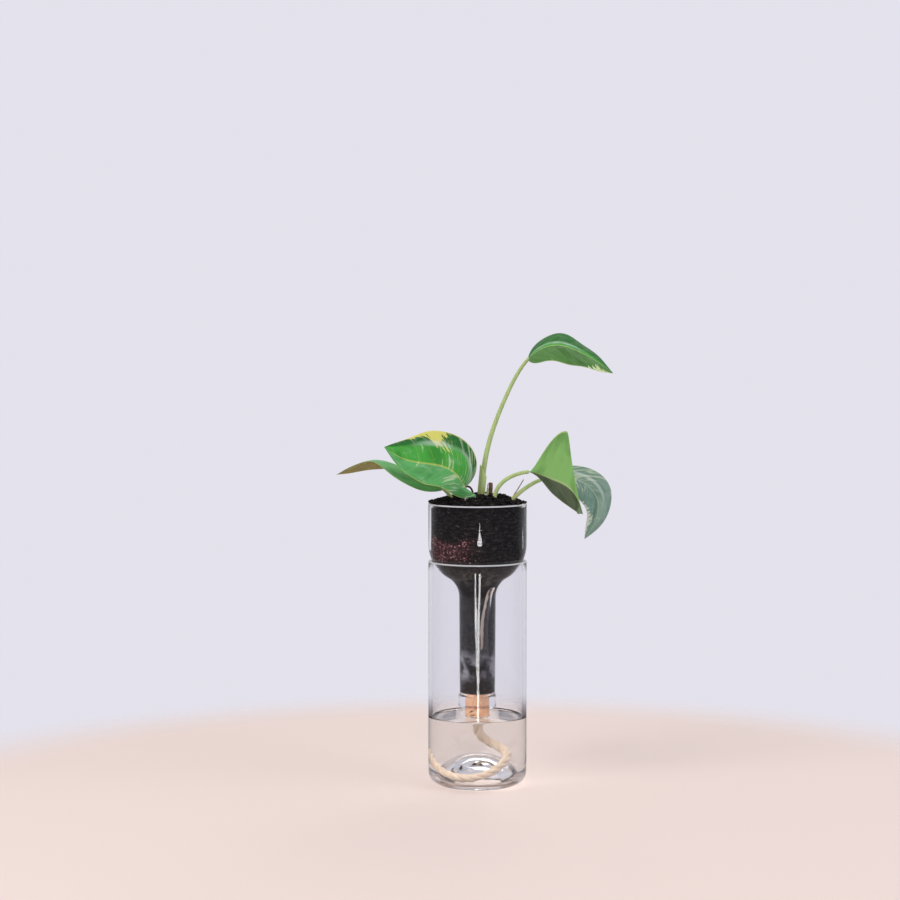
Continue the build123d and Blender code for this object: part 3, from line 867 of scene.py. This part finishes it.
# Cork: slightly uneven, drilled for the wick
CORK_EDGE = 0.8
CORK_ROUGHNESS = 0.12
CORK_GRAIN = 0.8
CORK_SEGMENTS = 128
CORK_ROWS = 40
HOLE_GAP = 0.2
hole_radius = WICK_DIAMETER / 2 + HOLE_GAP
hole_bottom, hole_top = (hole_radius, cork_bottom_z), (hole_radius, cork_top_z)
side_bottom, side_top = (cork_radius, cork_bottom_z), (cork_radius, cork_top_z)
cork_profile = bend(hole_bottom, side_bottom, side_top, CORK_EDGE)
cork_profile += upright(*cork_profile[-1], cork_radius, cork_top_z - CORK_EDGE, CORK_ROWS)[1:-1]
cork_profile += bend(side_bottom, side_top, hole_top, CORK_EDGE) + [hole_top, hole_bottom]
cork_points, cork_faces = lathe(cork_profile, closed=True, segments=CORK_SEGMENTS)
for point in cork_points:
    depth = CORK_ROUGHNESS * (0.5 + 0.5 * noise.fractal(Vector(point) * CORK_GRAIN, 1.0, 2.0, 4))
    if np.hypot(*point[:2]) > hole_radius + CORK_EDGE:
        point[:2] *= 1 - depth / cork_radius
add_piece("cork_stopper", (cork_points, cork_faces), cork_paint(), "stopper", ["cork"])


# Soil: pressed on the glass but for a dry strip at the left, hollowed along the wick, crumbly on top
SOIL_GAP = 0.15
SOIL_CROWN = 5.6
SOIL_LIFT = 1.1
SOIL_ROWS = 250
SOIL_SEGMENTS = 150
HEAP_ROWS = 30
SOIL_PRESS = 0.03
CONTACT_BELOW_RIM = 3.0
SIDE_DEPTH = 1.0
DRY_GAP = 0.2
DRY_SIDE = (0.955, 0.97)
DRY_HEIGHTS = (178.0, 190.0)
TOP_DEPTH = 0.5
TOP_ROUGHNESS = 1.3
TOP_GRAIN = 0.28
NEAR_ZERO = 1e-6
GROOVE_WIDTH = 1.7
GROOVE_FADE = 1.0
GROOVE_HEIGHTS = (98.0, 106.0, 146.0, 152.0)
CRUMBS = 1300
CRUMB_SIZES = (0.45, 1.7)
CRUMB_SIZE_POWER = 2.2
CRUMB_STRETCH = (0.6, 1.15)
CRUMB_LUMPS = 0.5
CRUMB_GRAIN = 1.4
CRUMB_SHIFT = 3.7
CRUMB_INSET = 1.2
CRUMB_RISE = (-0.1, 0.9)
PALE_CRUMBS = 16
PALE_TINT = 3.0
RIM_CRUMBS = 120
RIM_CRUMB_SPREAD = 42.0
RIM_CRUMB_RISE = (0.5, 0.8)
soil_radius = inner_radius - SOIL_GAP


def heap(radius):
    """Height of the soil's top at a distance from the middle."""
    return soil_edge_z + SOIL_LIFT + SOIL_CROWN * (1 - (radius / soil_radius) ** 2)


soil_foot_z = cork_top_z + SOIL_GAP
soil_profile = [(0.0, soil_foot_z), (mouth_radius, soil_foot_z), mouth_top]
soil_profile += shoulder(GLASS_WALL, NECK_BORE / 2)[::-1]
soil_profile += [(inner_radius, pot_rim_z - CONTACT_BELOW_RIM)]
soil_profile += [(radius, heap(radius)) for radius in np.linspace(soil_radius, 0, HEAP_ROWS)]
even_profile = evenly(np.array([(radius, 0.0, height) for radius, height in soil_profile]), SOIL_ROWS)
even_profile[-1, 0] = 0.0
soil_points, soil_faces = lathe(even_profile[:, [0, 2]].tolist(), segments=SOIL_SEGMENTS)
rising_line = held_line[np.argsort(held_line[:, 2])]
for point in soil_points:
    radius = np.hypot(*point[:2])
    if point[2] > heap(radius) - TOP_DEPTH:
        point[2] += TOP_ROUGHNESS * noise.fractal(Vector(point) * TOP_GRAIN, 1.0, 2.1, 5)
        continue
    wick_middle = np.array([np.interp(point[2], rising_line[:, 2], rising_line[:, axis]) for axis in (0, 1)])
    wick_way = np.hypot(*wick_middle) + NEAR_ZERO
    outward = wick_middle / wick_way
    reach = point[:2] @ outward
    aside = abs(point[0] * outward[1] - point[1] * outward[0])
    if radius > mouth_radius - SIDE_DEPTH:
        dry = np.interp(-point[0] / radius, DRY_SIDE, (0, 1)) * np.interp(point[2], DRY_HEIGHTS, (0, 1))
        point[:2] *= 1 + (SOIL_PRESS - DRY_GAP * dry) / radius
    if reach > wick_way:
        hollow = np.interp(point[2], GROOVE_HEIGHTS, (0, 1, 1, 0))
        hollow *= np.interp(aside, (GROOVE_WIDTH, GROOVE_WIDTH + GROOVE_FADE), (1, 0))
        point[:2] -= outward * hollow * (reach - wick_way)

ball = bmesh.new()
bmesh.ops.create_icosphere(ball, subdivisions=2, radius=1.0)
ball_points = np.array([vertex.co[:] for vertex in ball.verts])
ball_faces = [[vertex.index for vertex in face.verts] for face in ball.faces]
ball.free()
soil_shapes = [(soil_points, soil_faces)]
soil_tints = [np.zeros(len(soil_points))]


def crumb_place(index, size):
    """Where a crumb lies: the first ones on the rim at both sides, the others on the heap."""
    if index < RIM_CRUMBS:
        radius = random.uniform(soil_radius - SIDE_DEPTH, bottle_radius - CRUMB_INSET)
        turn = pi * (index % 2) + radians(RIM_CRUMB_SPREAD) * random.uniform(-1, 1)
        height = pot_rim_z + size * random.uniform(*RIM_CRUMB_RISE)
    else:
        radius = (soil_radius - CRUMB_INSET) * np.sqrt(random.random())
        turn = tau * random.random()
        height = heap(radius) + size * random.uniform(*CRUMB_RISE)
    return radius * cos(turn), radius * sin(turn), height


for index in range(CRUMBS):
    size = CRUMB_SIZES[0] + (CRUMB_SIZES[1] - CRUMB_SIZES[0]) * random.random() ** CRUMB_SIZE_POWER
    shift = Vector((index * CRUMB_SHIFT, 0, 0))
    lumps = [CRUMB_LUMPS * noise.noise(Vector(place) * CRUMB_GRAIN + shift) for place in ball_points]
    crumb = ball_points * (1 + np.array(lumps))[:, None] * size * random.uniform(*CRUMB_STRETCH, 3)
    soil_shapes.append((crumb + crumb_place(index, size), ball_faces))
    tint = PALE_TINT if index >= CRUMBS - PALE_CRUMBS else random.random() ** 2
    soil_tints.append(np.full(len(ball_points), tint))
tint_values = {"tint": ("FLOAT", "value", np.concatenate(soil_tints))}
add_piece("soil_bed", joined(soil_shapes), soil_paint(), "pot", ["soil"], tint_values)


# Leaves: thin folded blades with raised panels between their veins, on round stalks
NO_HUMP = (0.5, 0.1, 0.0)


@dataclass
class Leaf:
    """One leaf, placed above the middle of the pot's rim.

    stalk runs from the soil to the blade's base, and midrib from there to the blade's tip.
    across points from the midrib to the leaf's first half: at the blade's base, middle and tip.
    widths and lifts are the half widths and the fold angles of the first and the second half.
    powers say how the width rises from the base and falls to the tip.
    diameters are the stalk's at the soil and at the blade.
    curl lowers the margins, and lobe is the reach of the base's lobes behind the stalk.
    upper is 1 where the upper face is on the section's own normal, and -1 where it is on the other.
    wave moves the margins up and down, and flap is where the lobe of the second half goes beyond that.
    hump is the place along the blade, the reach and the share by which the first half is wider there.
    """

    name: str
    stalk: list
    midrib: list
    across: tuple
    widths: tuple
    lifts: tuple
    powers: tuple
    diameters: tuple
    curl: float
    lobe: float
    look: LeafLook
    slot: str = "leaf"
    upper: int = 1
    wave: float = 0.8
    flap: tuple = (0, 0, 0)
    hump: tuple = NO_HUMP


LEAVES = [
    Leaf(
        name="top",
        stalk=[(2.7, 0, 6), (5.5, 1, 31), (12.4, 2, 58), (20.7, 3, 79), (29, 4, 96), (39.4, 4, 110.5)],
        midrib=[(51, 2, 118.5), (62, 0, 120), (75, -3, 116), (88, -6, 109), (102, -9, 99)],
        across=((0.0, 0.88, 0.47), (0.05, 0.89, 0.44), (0.1, 0.9, 0.4)),
        widths=(19.0, 22.0),
        lifts=(6.0, -4.0),
        powers=(0.6, 0.95),
        diameters=(4.4, 2.6),
        curl=1.5,
        lobe=1.5,
        look=LeafLook(
            # The second half's darker olive is painted shade on the lower half
            halves=((64, 158, 48), (78, 128, 56)),
            underside=(104, 134, 84),
            pale=(206, 222, 160),
            seed=2.0,
            streaks=0.26,
            sheen=0.2,
            shade=0.8,
            splash=(0.86, 0.1, 0.08, -1.0),
        ),
    ),
    Leaf(
        name="right",
        stalk=[(11.9, -14, 1), (14.8, -13, 11.5), (22.8, -11, 19.5), (31.5, -8, 23), (38.7, -5.5, 24)],
        midrib=[(46, -8, 22.8), (57, -10.5, 18.5), (67, -12, 13.8), (75, -12.5, 5), (79.4, -12.5, -7.3)],
        across=((0.0, 0.05, 1.0), (0.06, 0.05, 1.0), (-0.3, 0.1, 0.95)),
        widths=(40.8, 18.6),
        lifts=(0.0, -39.0),
        powers=(1.57, 1.26),
        diameters=(3.6, 2.8),
        curl=0.5,
        lobe=0.0,
        look=LeafLook(
            # The second half's dark grey-green is painted shade: that half hangs down away from the light
            halves=((134, 186, 104), (100, 116, 90)),
            underside=(116, 142, 100),
            pale=(200, 216, 140),
            seed=5.0,
        ),
    ),
    Leaf(
        name="far_right",
        stalk=[(22.9, -8, 0), (32.2, -4, 8.5), (41.5, 2, 14.5), (49, 8, 17.5), (60, 14.5, 18.5)],
        midrib=[(72, 17, 18), (84, 18, 12.5), (92, 17, 2), (91.5, 14, -11), (82, 9, -28)],
        across=((0.2, 0.7, 0.68), (0.75, 0.5, 0.35), (0.8, 0.4, -0.3)),
        widths=(16.0, 16.0),
        lifts=(10.0, 10.0),
        powers=(0.45, 0.95),
        diameters=(3.6, 2.6),
        curl=1.5,
        lobe=2.0,
        slot="leaf_variegated",
        look=LeafLook(
            halves=((142, 170, 150), (118, 150, 134)),
            underside=(128, 150, 130),
            pale=(206, 216, 196),
            seed=9.0,
            streaks=0.4,
            sheen=0.4,
            shade=0.25,
            splash=(0.8, 0.1, 0.14, -1.0),
        ),
    ),
    Leaf(
        name="left",
        stalk=[(-6, -10, 0), (-8, -14.5, 7), (-11, -18.5, 14.5)],
        midrib=[(-17, -22, 24), (-26, -24, 29), (-40, -24.5, 31.5), (-56, -23, 35), (-70, -20, 43.5)],
        across=((0.6, 0.4, 0.55), (0.17, 0.45, 0.85), (0.0, 0.5, 0.86)),
        widths=(28.0, 18.0),
        lifts=(-4.0, -10.0),
        powers=(0.45, 0.95),
        diameters=(3.2, 2.6),
        curl=2.0,
        lobe=3.0,
        slot="leaf_variegated",
        upper=-1,
        wave=1.4,
        flap=(11, 2, -6),
        hump=(0.6, 0.15, 0.14),
        look=LeafLook(
            halves=((72, 164, 64), (92, 170, 96)),
            underside=(140, 168, 112),
            pale=(222, 216, 112),
            seed=12.0,
            streaks=0.38,
            sheen=0.62,
            shade=0.85,
            splash=(0.55, 0.36, 0.08, 1.0),
        ),
    ),
    Leaf(
        name="lower_left",
        stalk=[(-16.4, -10, 0), (-21, -6, 6), (-27, -1, 11.5)],
        midrib=[(-45, 2, 21), (-62, 4, 29), (-79, 6, 32.5), (-95, 7, 27.5), (-108, 8, 21)],
        across=((0.0, 0.6, 0.8), (0.0, 0.92, -0.4), (0.0, 0.35, -0.94)),
        widths=(16.0, 14.0),
        lifts=(-6.0, 40.0),
        powers=(0.9, 1.2),
        diameters=(3.2, 2.4),
        curl=1.0,
        lobe=2.0,
        upper=-1,
        look=LeafLook(
            halves=((100, 174, 96), (104, 178, 102)),
            underside=(168, 160, 98),
            pale=(200, 212, 140),
            seed=17.0,
        ),
    ),
]
STEM_DEPTH = 9.0
STALK_STEPS = 200
STALK_ROWS = 60
STALK_SIDES = 20
MIDRIB_STEPS = 400
BLADE_ROWS = 110
BLADE_COLUMNS = 61
BLADE_THICKNESS = 0.45
EDGE_THINNESS = 0.75
NARROWEST_SHARE = 0.015
VEINS = 7.0
VEIN_SLANT = 0.3
VEIN_CURVE = 1.4
VEIN_EASE = 0.6
QUILT = 0.3
WAVE_COUNT = 2.3
WAVE_SHIFT = 0.31
WAVE_POWER = 2.5
LOBE_FULLNESS = 0.6
LOBE_POWER = 5
FLAP_POWER = 12
RIB_WIDTH = 0.05
RIB_HEIGHT = 0.8
RIB_TAPER = 0.7
RIB_DIP = 0.3


def leaf_lines(leaf):
    """Evenly spaced points along a leaf's stalk and along its midrib."""
    places = [np.array(place) + (0, 0, pot_rim_z) for place in leaf.stalk + leaf.midrib]
    root = places[0] - STEM_DEPTH * unit(places[1] - places[0])
    at, way = spline([root] + places)
    base = way[len(leaf.stalk)]
    stalk = evenly(at(np.linspace(0, base, STALK_STEPS)), STALK_ROWS)
    return stalk, evenly(at(np.linspace(base, way[-1], MIDRIB_STEPS)), BLADE_ROWS)


def blade_shape(leaf, midrib):
    """A leaf's blade, with where each point lies along, across and between its veins.

    The grids have rows along the blade and columns across it.
    """
    shares = np.linspace(0, 1, BLADE_ROWS)
    across = np.stack([np.interp(shares, (0, 0.5, 1), axis) for axis in zip(*leaf.across)], axis=1)
    across = unit(across)[:, None]
    ahead = unit(np.gradient(midrib, axis=0))[:, None]
    normal = unit(np.cross(ahead, across))
    raised = leaf.upper * normal
    along = shares[:, None, None]
    side = np.linspace(-1, 1, BLADE_COLUMNS)[None, :, None]
    off_rib = np.abs(side)

    # Width and fold of each half
    rise, fall = leaf.powers
    widest = rise / (rise + fall)
    outline = (along / widest) ** rise * ((1 - along) / (1 - widest)) ** fall
    outline = np.maximum(outline, NARROWEST_SHARE)
    hump_place, hump_reach, hump_share = leaf.hump
    humped = 1 + hump_share * np.exp(-(((along - hump_place) / hump_reach) ** 2))
    reach = outline * np.where(side > 0, *leaf.widths) * off_rib * np.where(side > 0, humped, 1.0)
    lift = np.radians(np.where(side > 0, *leaf.lifts))
    middle = midrib[:, None] + reach * np.sign(side) * np.cos(lift) * across + reach * np.sin(lift) * normal

    # Panels between the veins, waves and curl of the margins, and lobes at the base
    veins = VEINS * (along - VEIN_SLANT * off_rib**VEIN_CURVE * (1 - VEIN_EASE * along))
    panel = QUILT * (0.5 - 0.5 * np.cos(tau * veins)) * np.sin(pi * off_rib)
    wave = leaf.wave * np.sin(tau * (WAVE_COUNT * along + WAVE_SHIFT * np.sign(side))) * off_rib**WAVE_POWER
    middle = middle + outline * (panel + wave - leaf.curl * off_rib**2) * raised
    lobe = leaf.lobe * off_rib * (1 + LOBE_FULLNESS - LOBE_FULLNESS * off_rib)
    middle = middle - lobe * (1 - along) ** LOBE_POWER * ahead
    middle = middle + np.where(side < 0, off_rib, 0) * (1 - along) ** FLAP_POWER * np.array(leaf.flap, float)

    # Thickness, least at the margins, and the midrib that stands out below
    fullness = 1 - EDGE_THINNESS + EDGE_THINNESS * np.sqrt(np.maximum(0, 1 - off_rib**4))
    thin = BLADE_THICKNESS * fullness / 2
    rib = RIB_HEIGHT * np.exp(-((off_rib / RIB_WIDTH) ** 2)) * (1 - along) ** RIB_TAPER
    upper = middle + (thin - RIB_DIP * rib) * raised
    lower = middle - (thin + rib) * raised
    where = np.concatenate(np.broadcast_arrays(along, side, veins), axis=-1).reshape(-1, 3)
    values = {
        "blade": ("FLOAT_VECTOR", "vector", np.concatenate([where, where])),
        "under": ("FLOAT", "value", np.repeat((0.0, 1.0), len(where))),
    }
    return sheet(upper, lower), values


stalk_green = stalk_paint("stalk", (184, 206, 136), (186, 186, 122))
for leaf in LEAVES:
    stalk_line, midrib_line = leaf_lines(leaf)
    stalk_shape = tube(stalk_line, np.linspace(*leaf.diameters, STALK_ROWS) / 2, STALK_SIDES)
    add_piece(f"stalk_{leaf.name}", stalk_shape, stalk_green, "pot", [f"petiole_{leaf.name}"])
    blade, blade_values = blade_shape(leaf, midrib_line)
    skin = leaf_paint(f"leaf_{leaf.name}", leaf.look)
    add_piece(f"blade_{leaf.name}", blade, skin, "pot", [f"leaf_{leaf.name}"], blade_values)


# Stem sheath: the papery old leaf base around the foot of the top leaf's stalk
SHEATH_HEIGHT = 32.0
SHEATH_RADIUS = 3.0
SHEATH_WALL = 0.5
SHEATH_SLIT = 50.0
SHEATH_SLANT = 9.0
SHEATH_TURN = 200.0
SHEATH_FLARE = 0.35
SHEATH_FLARE_POWER = 6
SHEATH_ROWS = 40
top_line = leaf_lines(LEAVES[0])[0]
top_way = way_along(top_line)
top_data = (top_line, *frames_along(top_line))
slit_turns = np.radians(np.linspace(SHEATH_SLIT / 2, 360 - SHEATH_SLIT / 2, SHEATH_ROWS))
sheath_faces = []
for sheath_radius in (SHEATH_RADIUS, SHEATH_RADIUS - SHEATH_WALL):
    columns = []
    for turn in slit_turns:
        end = SHEATH_HEIGHT - SHEATH_SLANT * (0.5 + 0.5 * cos(turn))
        way = np.linspace(0, end, SHEATH_ROWS)
        line, right, up = (along_line(way, top_way, data) for data in top_data)
        flare = sheath_radius + SHEATH_FLARE * (way / SHEATH_HEIGHT)[:, None] ** SHEATH_FLARE_POWER
        facing = turn + radians(SHEATH_TURN)
        columns.append(line + flare * (cos(facing) * right + sin(facing) * up))
    sheath_faces.append(np.array(columns))
sheath_skin = stalk_paint("sheath", (206, 224, 148), (200, 200, 124))
add_piece("sheath_skin", sheet(*sheath_faces), sheath_skin, "pot", ["stem_sheath"])


# Stem stub, bract, loose root and dry twig
POST_ROWS = 40
STUB_PLACE = (10.0, 4.5)
STUB_RADIUS = 1.7
STUB_HEIGHT = 16.0
STUB_FOOT_SHARE = 0.72
STUB_WRINKLES = 0.16
STUB_SHRINK = 0.4
STUB_GRAIN = (0.9, 0.9, 0.25)
STUB_SIDES = 24
STUB_TORN = 1.6
STUB_TORN_GRAIN = 0.9
STUB_END = 0.1
BRACT_PLACE = (7.6, -3.8)
BRACT_RADIUS = 1.8
BRACT_HEIGHT = 15.5
BRACT_STRAIGHT = 0.4
BRACT_POINT = 0.16
BRACT_TAPER = 1.4
BRACT_SIDES = 20
ROOT_RADIUS = 0.9
ROOT_ROWS = 90
ROOT_SHARE = 0.82
ROOT_UNEVEN = 0.22
ROOT_GRAIN = 0.7
TWIG_RADIUS = 0.4
TWIG_ROWS = 70
TWIG_SIDES = 10
TWIG_SHARE = 0.8
TWIG_UNEVEN = 0.4
TWIG_GRAIN = 0.5
ROOT_ROUTE = [(-2.5, 3.5, -4.5), (-2.6, 3.8, 6.5), (-6.0, 4.6, 14.0), (-13.0, 6.0, 10.5), (-15.0, 6.5, -4.5)]
TWIG_ROUTE = [(-11.5, 2.0, -4.5), (-9.0, 1.5, 3.5), (-3.5, 0.5, 11.5), (0.5, 0.0, 18.5)]


def post(place, height):
    """Points of an upright line from inside the soil to a height above its edge."""
    return np.linspace((*place, soil_edge_z - STEM_DEPTH), (*place, soil_edge_z + height), POST_ROWS)


stub_radii = np.linspace(STUB_FOOT_SHARE, 1.0, POST_ROWS) * STUB_RADIUS
stub_points, stub_faces = tube(post(STUB_PLACE, STUB_HEIGHT), stub_radii, STUB_SIDES)
for point in stub_points:
    wrinkle = noise.fractal(Vector(point * STUB_GRAIN), 1.0, 2.0, 4)
    point[:2] += (point[:2] - STUB_PLACE) * STUB_WRINKLES * (wrinkle - STUB_SHRINK)
    if point[2] > soil_edge_z + STUB_HEIGHT - STUB_END:
        point[2] -= STUB_TORN * abs(noise.noise(Vector(point) * STUB_TORN_GRAIN))
stub_bark = bark_paint("stub_bark", (110, 72, 70), (178, 132, 122))
add_piece("stub", (stub_points, stub_faces), stub_bark, "pot", ["stem_stub"])

narrowing = np.maximum(0, (np.linspace(0, 1, POST_ROWS) - BRACT_STRAIGHT) / (1 - BRACT_STRAIGHT))
bract_radii = BRACT_RADIUS * np.maximum(BRACT_POINT, 1 - narrowing**BRACT_TAPER)
bract_shape = tube(post(BRACT_PLACE, BRACT_HEIGHT), bract_radii, BRACT_SIDES)
bract_skin = stalk_paint("bract", (176, 200, 132), (172, 176, 116))
add_piece("bract_point", bract_shape, bract_skin, "pot", ["bract"])

root_places = [(x, y, soil_edge_z + z) for x, y, z in ROOT_ROUTE]
root_line = evenly(smooth_route("root_route", root_places), ROOT_ROWS)
root_uneven = [ROOT_UNEVEN * noise.noise(Vector(place) * ROOT_GRAIN) for place in root_line]
root_radii = ROOT_RADIUS * (ROOT_SHARE + np.array(root_uneven))
root_skin = bark_paint("root_skin", (58, 40, 34), (118, 84, 66))
add_piece("root_loop", tube(root_line, root_radii), root_skin, "pot", ["loose_root"])

twig_places = [(inner_radius + x, y, soil_edge_z + z) for x, y, z in TWIG_ROUTE]
twig_line = evenly(smooth_route("twig_route", twig_places), TWIG_ROWS)
twig_uneven = [TWIG_UNEVEN * abs(noise.noise(Vector(place) * TWIG_GRAIN)) for place in twig_line]
twig_radii = TWIG_RADIUS * (TWIG_SHARE + np.array(twig_uneven))
twig_bark = bark_paint("twig_bark", (92, 72, 58), (150, 124, 100))
add_piece("twig", tube(twig_line, twig_radii, TWIG_SIDES), twig_bark, "pot", ["dry_twig"])


# Stage: a pale round floor that fades into the backdrop, and soft studio light
BACKDROP = (228, 226, 236)
STUDIO_COLOUR = (190, 190, 196)
ROOM_COLOUR = (84, 84, 90)
DARK_SIDE = (0.1, 0.8)
DEEP_BOUNCES = (4.5, 6.5)
FLOOR_COLOUR = (232, 216, 209)
FLOOR_MIRRORED = (112, 104, 104)
FLOOR_RADIUS = 2000.0
FLOOR_CENTRE = (0.0, -120.0, 0.0)
FLOOR_FADE = (540.0, 400.0)
FLOOR_CLOSE = (70.0, 110.0)
FLOOR_SEGMENTS = 96
LIGHT_SIZE = 900.0
LIGHT_AIM = (0.0, 0.0, 170.0)
LIGHTS = [
    ("key", (-900, -800, 1300), 13.0, (255, 250, 244)),
    ("fill", (1100, -500, 800), 5.0, (246, 248, 255)),
    ("back", (300, 1100, 1200), 6.0, (255, 252, 248)),
]


def floor_paint():
    """A pale matt floor, clear far out, and darker in early reflections but for its part close by."""
    paint = Paint("floor", FLOOR_COLOUR, {"Roughness": 0.9, "Specular IOR Level": 0.0})
    paint.drive("Alpha", paint.step_mm(paint.length(paint.place), FLOOR_FADE))
    centre = [x * MM for x in FLOOR_CENTRE]
    from_base = paint.add("VectorMath", {0: paint.place, 1: centre}, operation="ADD")
    far_off = paint.step_mm(paint.length(from_base), FLOOR_CLOSE)
    reflections = paint.add("LightPath", {}, "Glossy Depth")
    shallow = paint.step(reflections.node.outputs["Ray Depth"], *DEEP_BOUNCES[::-1])
    mirrored = paint.times(reflections, paint.times(shallow, far_off))
    paint.drive("Base Color", paint.mix(mirrored, FLOOR_COLOUR, FLOOR_MIRRORED))
    return paint.material


floor_shape = lathe([(FLOOR_RADIUS, 0.0), (0.0, 0.0)], segments=FLOOR_SEGMENTS)
floor = add_object("floor", floor_shape, floor_paint())
floor.location = [x * MM for x in FLOOR_CENTRE]

world = bpy.data.worlds.new("studio")
scene.world = world
world.use_nodes = True
room = Nodes(world.node_tree)
heading = room.parts(room.add("TexCoord", {}, "Generated"))
path = room.add("LightPath", {}).node.outputs
bright_side = room.step(room.plus(heading["Y"], heading["Z"]), *DARK_SIDE)
bright_side = room.math("MAXIMUM", bright_side, room.step(path["Ray Depth"], *DEEP_BOUNCES))
seen = room.math("MAXIMUM", path["Is Camera Ray"], path["Is Transmission Ray"])
through = room.mix(path["Glossy Depth"], BACKDROP, room.mix(bright_side, ROOM_COLOUR, BACKDROP))
around = room.mix(path["Is Glossy Ray"], STUDIO_COLOUR, room.mix(bright_side, ROOM_COLOUR, STUDIO_COLOUR))
background = world.node_tree.nodes["Background"]
background.inputs["Strength"].default_value = 1.0
world.node_tree.links.new(room.mix(seen, around, through), background.inputs["Color"])

for light_name, light_place, power, tint in LIGHTS:
    light = bpy.data.lights.new(light_name, "AREA")
    light.energy = power
    light.size = LIGHT_SIZE * MM
    light.color = colour(*tint)[:3]
    lamp = bpy.data.objects.new(light_name, light)
    lamp.location = [x * MM for x in light_place]
    aim = Vector([x * MM for x in LIGHT_AIM]) - lamp.location
    lamp.rotation_euler = aim.to_track_quat("-Z", "Y").to_euler()
    lamp.visible_camera = False
    lamp.visible_glossy = False
    scene.collection.objects.link(lamp)

# Bright panes in front, seen only as the narrow reflections on the glass, and a shade between them
WHITE = (255, 255, 255)
WINDOW_DEPTH = -187.0
WINDOW_STRENGTH = 14.0
DROP_FOOT = [(31, 174), (30, 172), (25, 170.6), (15, 170.1), (5, 170.6), (0, 172), (-1, 174)]
PANES = [
    [(15, 192), (19, 183), (27, 177), *DROP_FOOT, (3, 177), (11, 183)],
    [(9, 153), (24, 153), (21, 136), (15, 112), (13, 80), (12, 26), (-3, 26), (-3, 80), (0, 112), (8, 136)],
    [(-19, 153), (-10, 153), (-10, 136), (-2, 112), (-5, 80), (-5, 50), (-10, 80), (-19, 112), (-18, 136)],
]
EDGE_PANE = [(142, 89, 154), (145, 86, 154), (147, 84, 178), (145, 86, 188), (144, 87, 188), (142, 89, 178)]
EDGE_STRENGTH = 5.0
CARD_BOUNCES = (4.5, 3.5)
SHADE_HEIGHT = 169.6
SHADE_CORNERS = [(-60.0, -40.0), (60.0, -40.0), (60.0, -186.0), (-60.0, -186.0)]


def reflected_only(name, corners, tint, strength):
    """A flat glowing card that nothing but an early reflection can show."""
    glow = Paint(name, (0, 0, 0), {"Emission Color": colour(*tint), "Emission Strength": strength})
    glow.drive("Alpha", glow.step(glow.add("LightPath", {}, "Ray Depth"), *CARD_BOUNCES))
    card = add_object(name, (corners, [list(range(len(corners)))]), glow.material)
    for ray in ("camera", "diffuse", "transmission", "volume_scatter", "shadow"):
        setattr(card, f"visible_{ray}", False)


for pane_index, pane in enumerate(PANES):
    pane_corners = [(x, WINDOW_DEPTH, z) for x, z in pane]
    reflected_only(f"pane_{pane_index}", pane_corners, WHITE, WINDOW_STRENGTH)
reflected_only("edge_pane", EDGE_PANE, WHITE, EDGE_STRENGTH)
reflected_only("shade", [(x, y, SHADE_HEIGHT) for x, y in SHADE_CORNERS], ROOM_COLOUR, 1.0)

scene.view_settings.view_transform = "Standard"
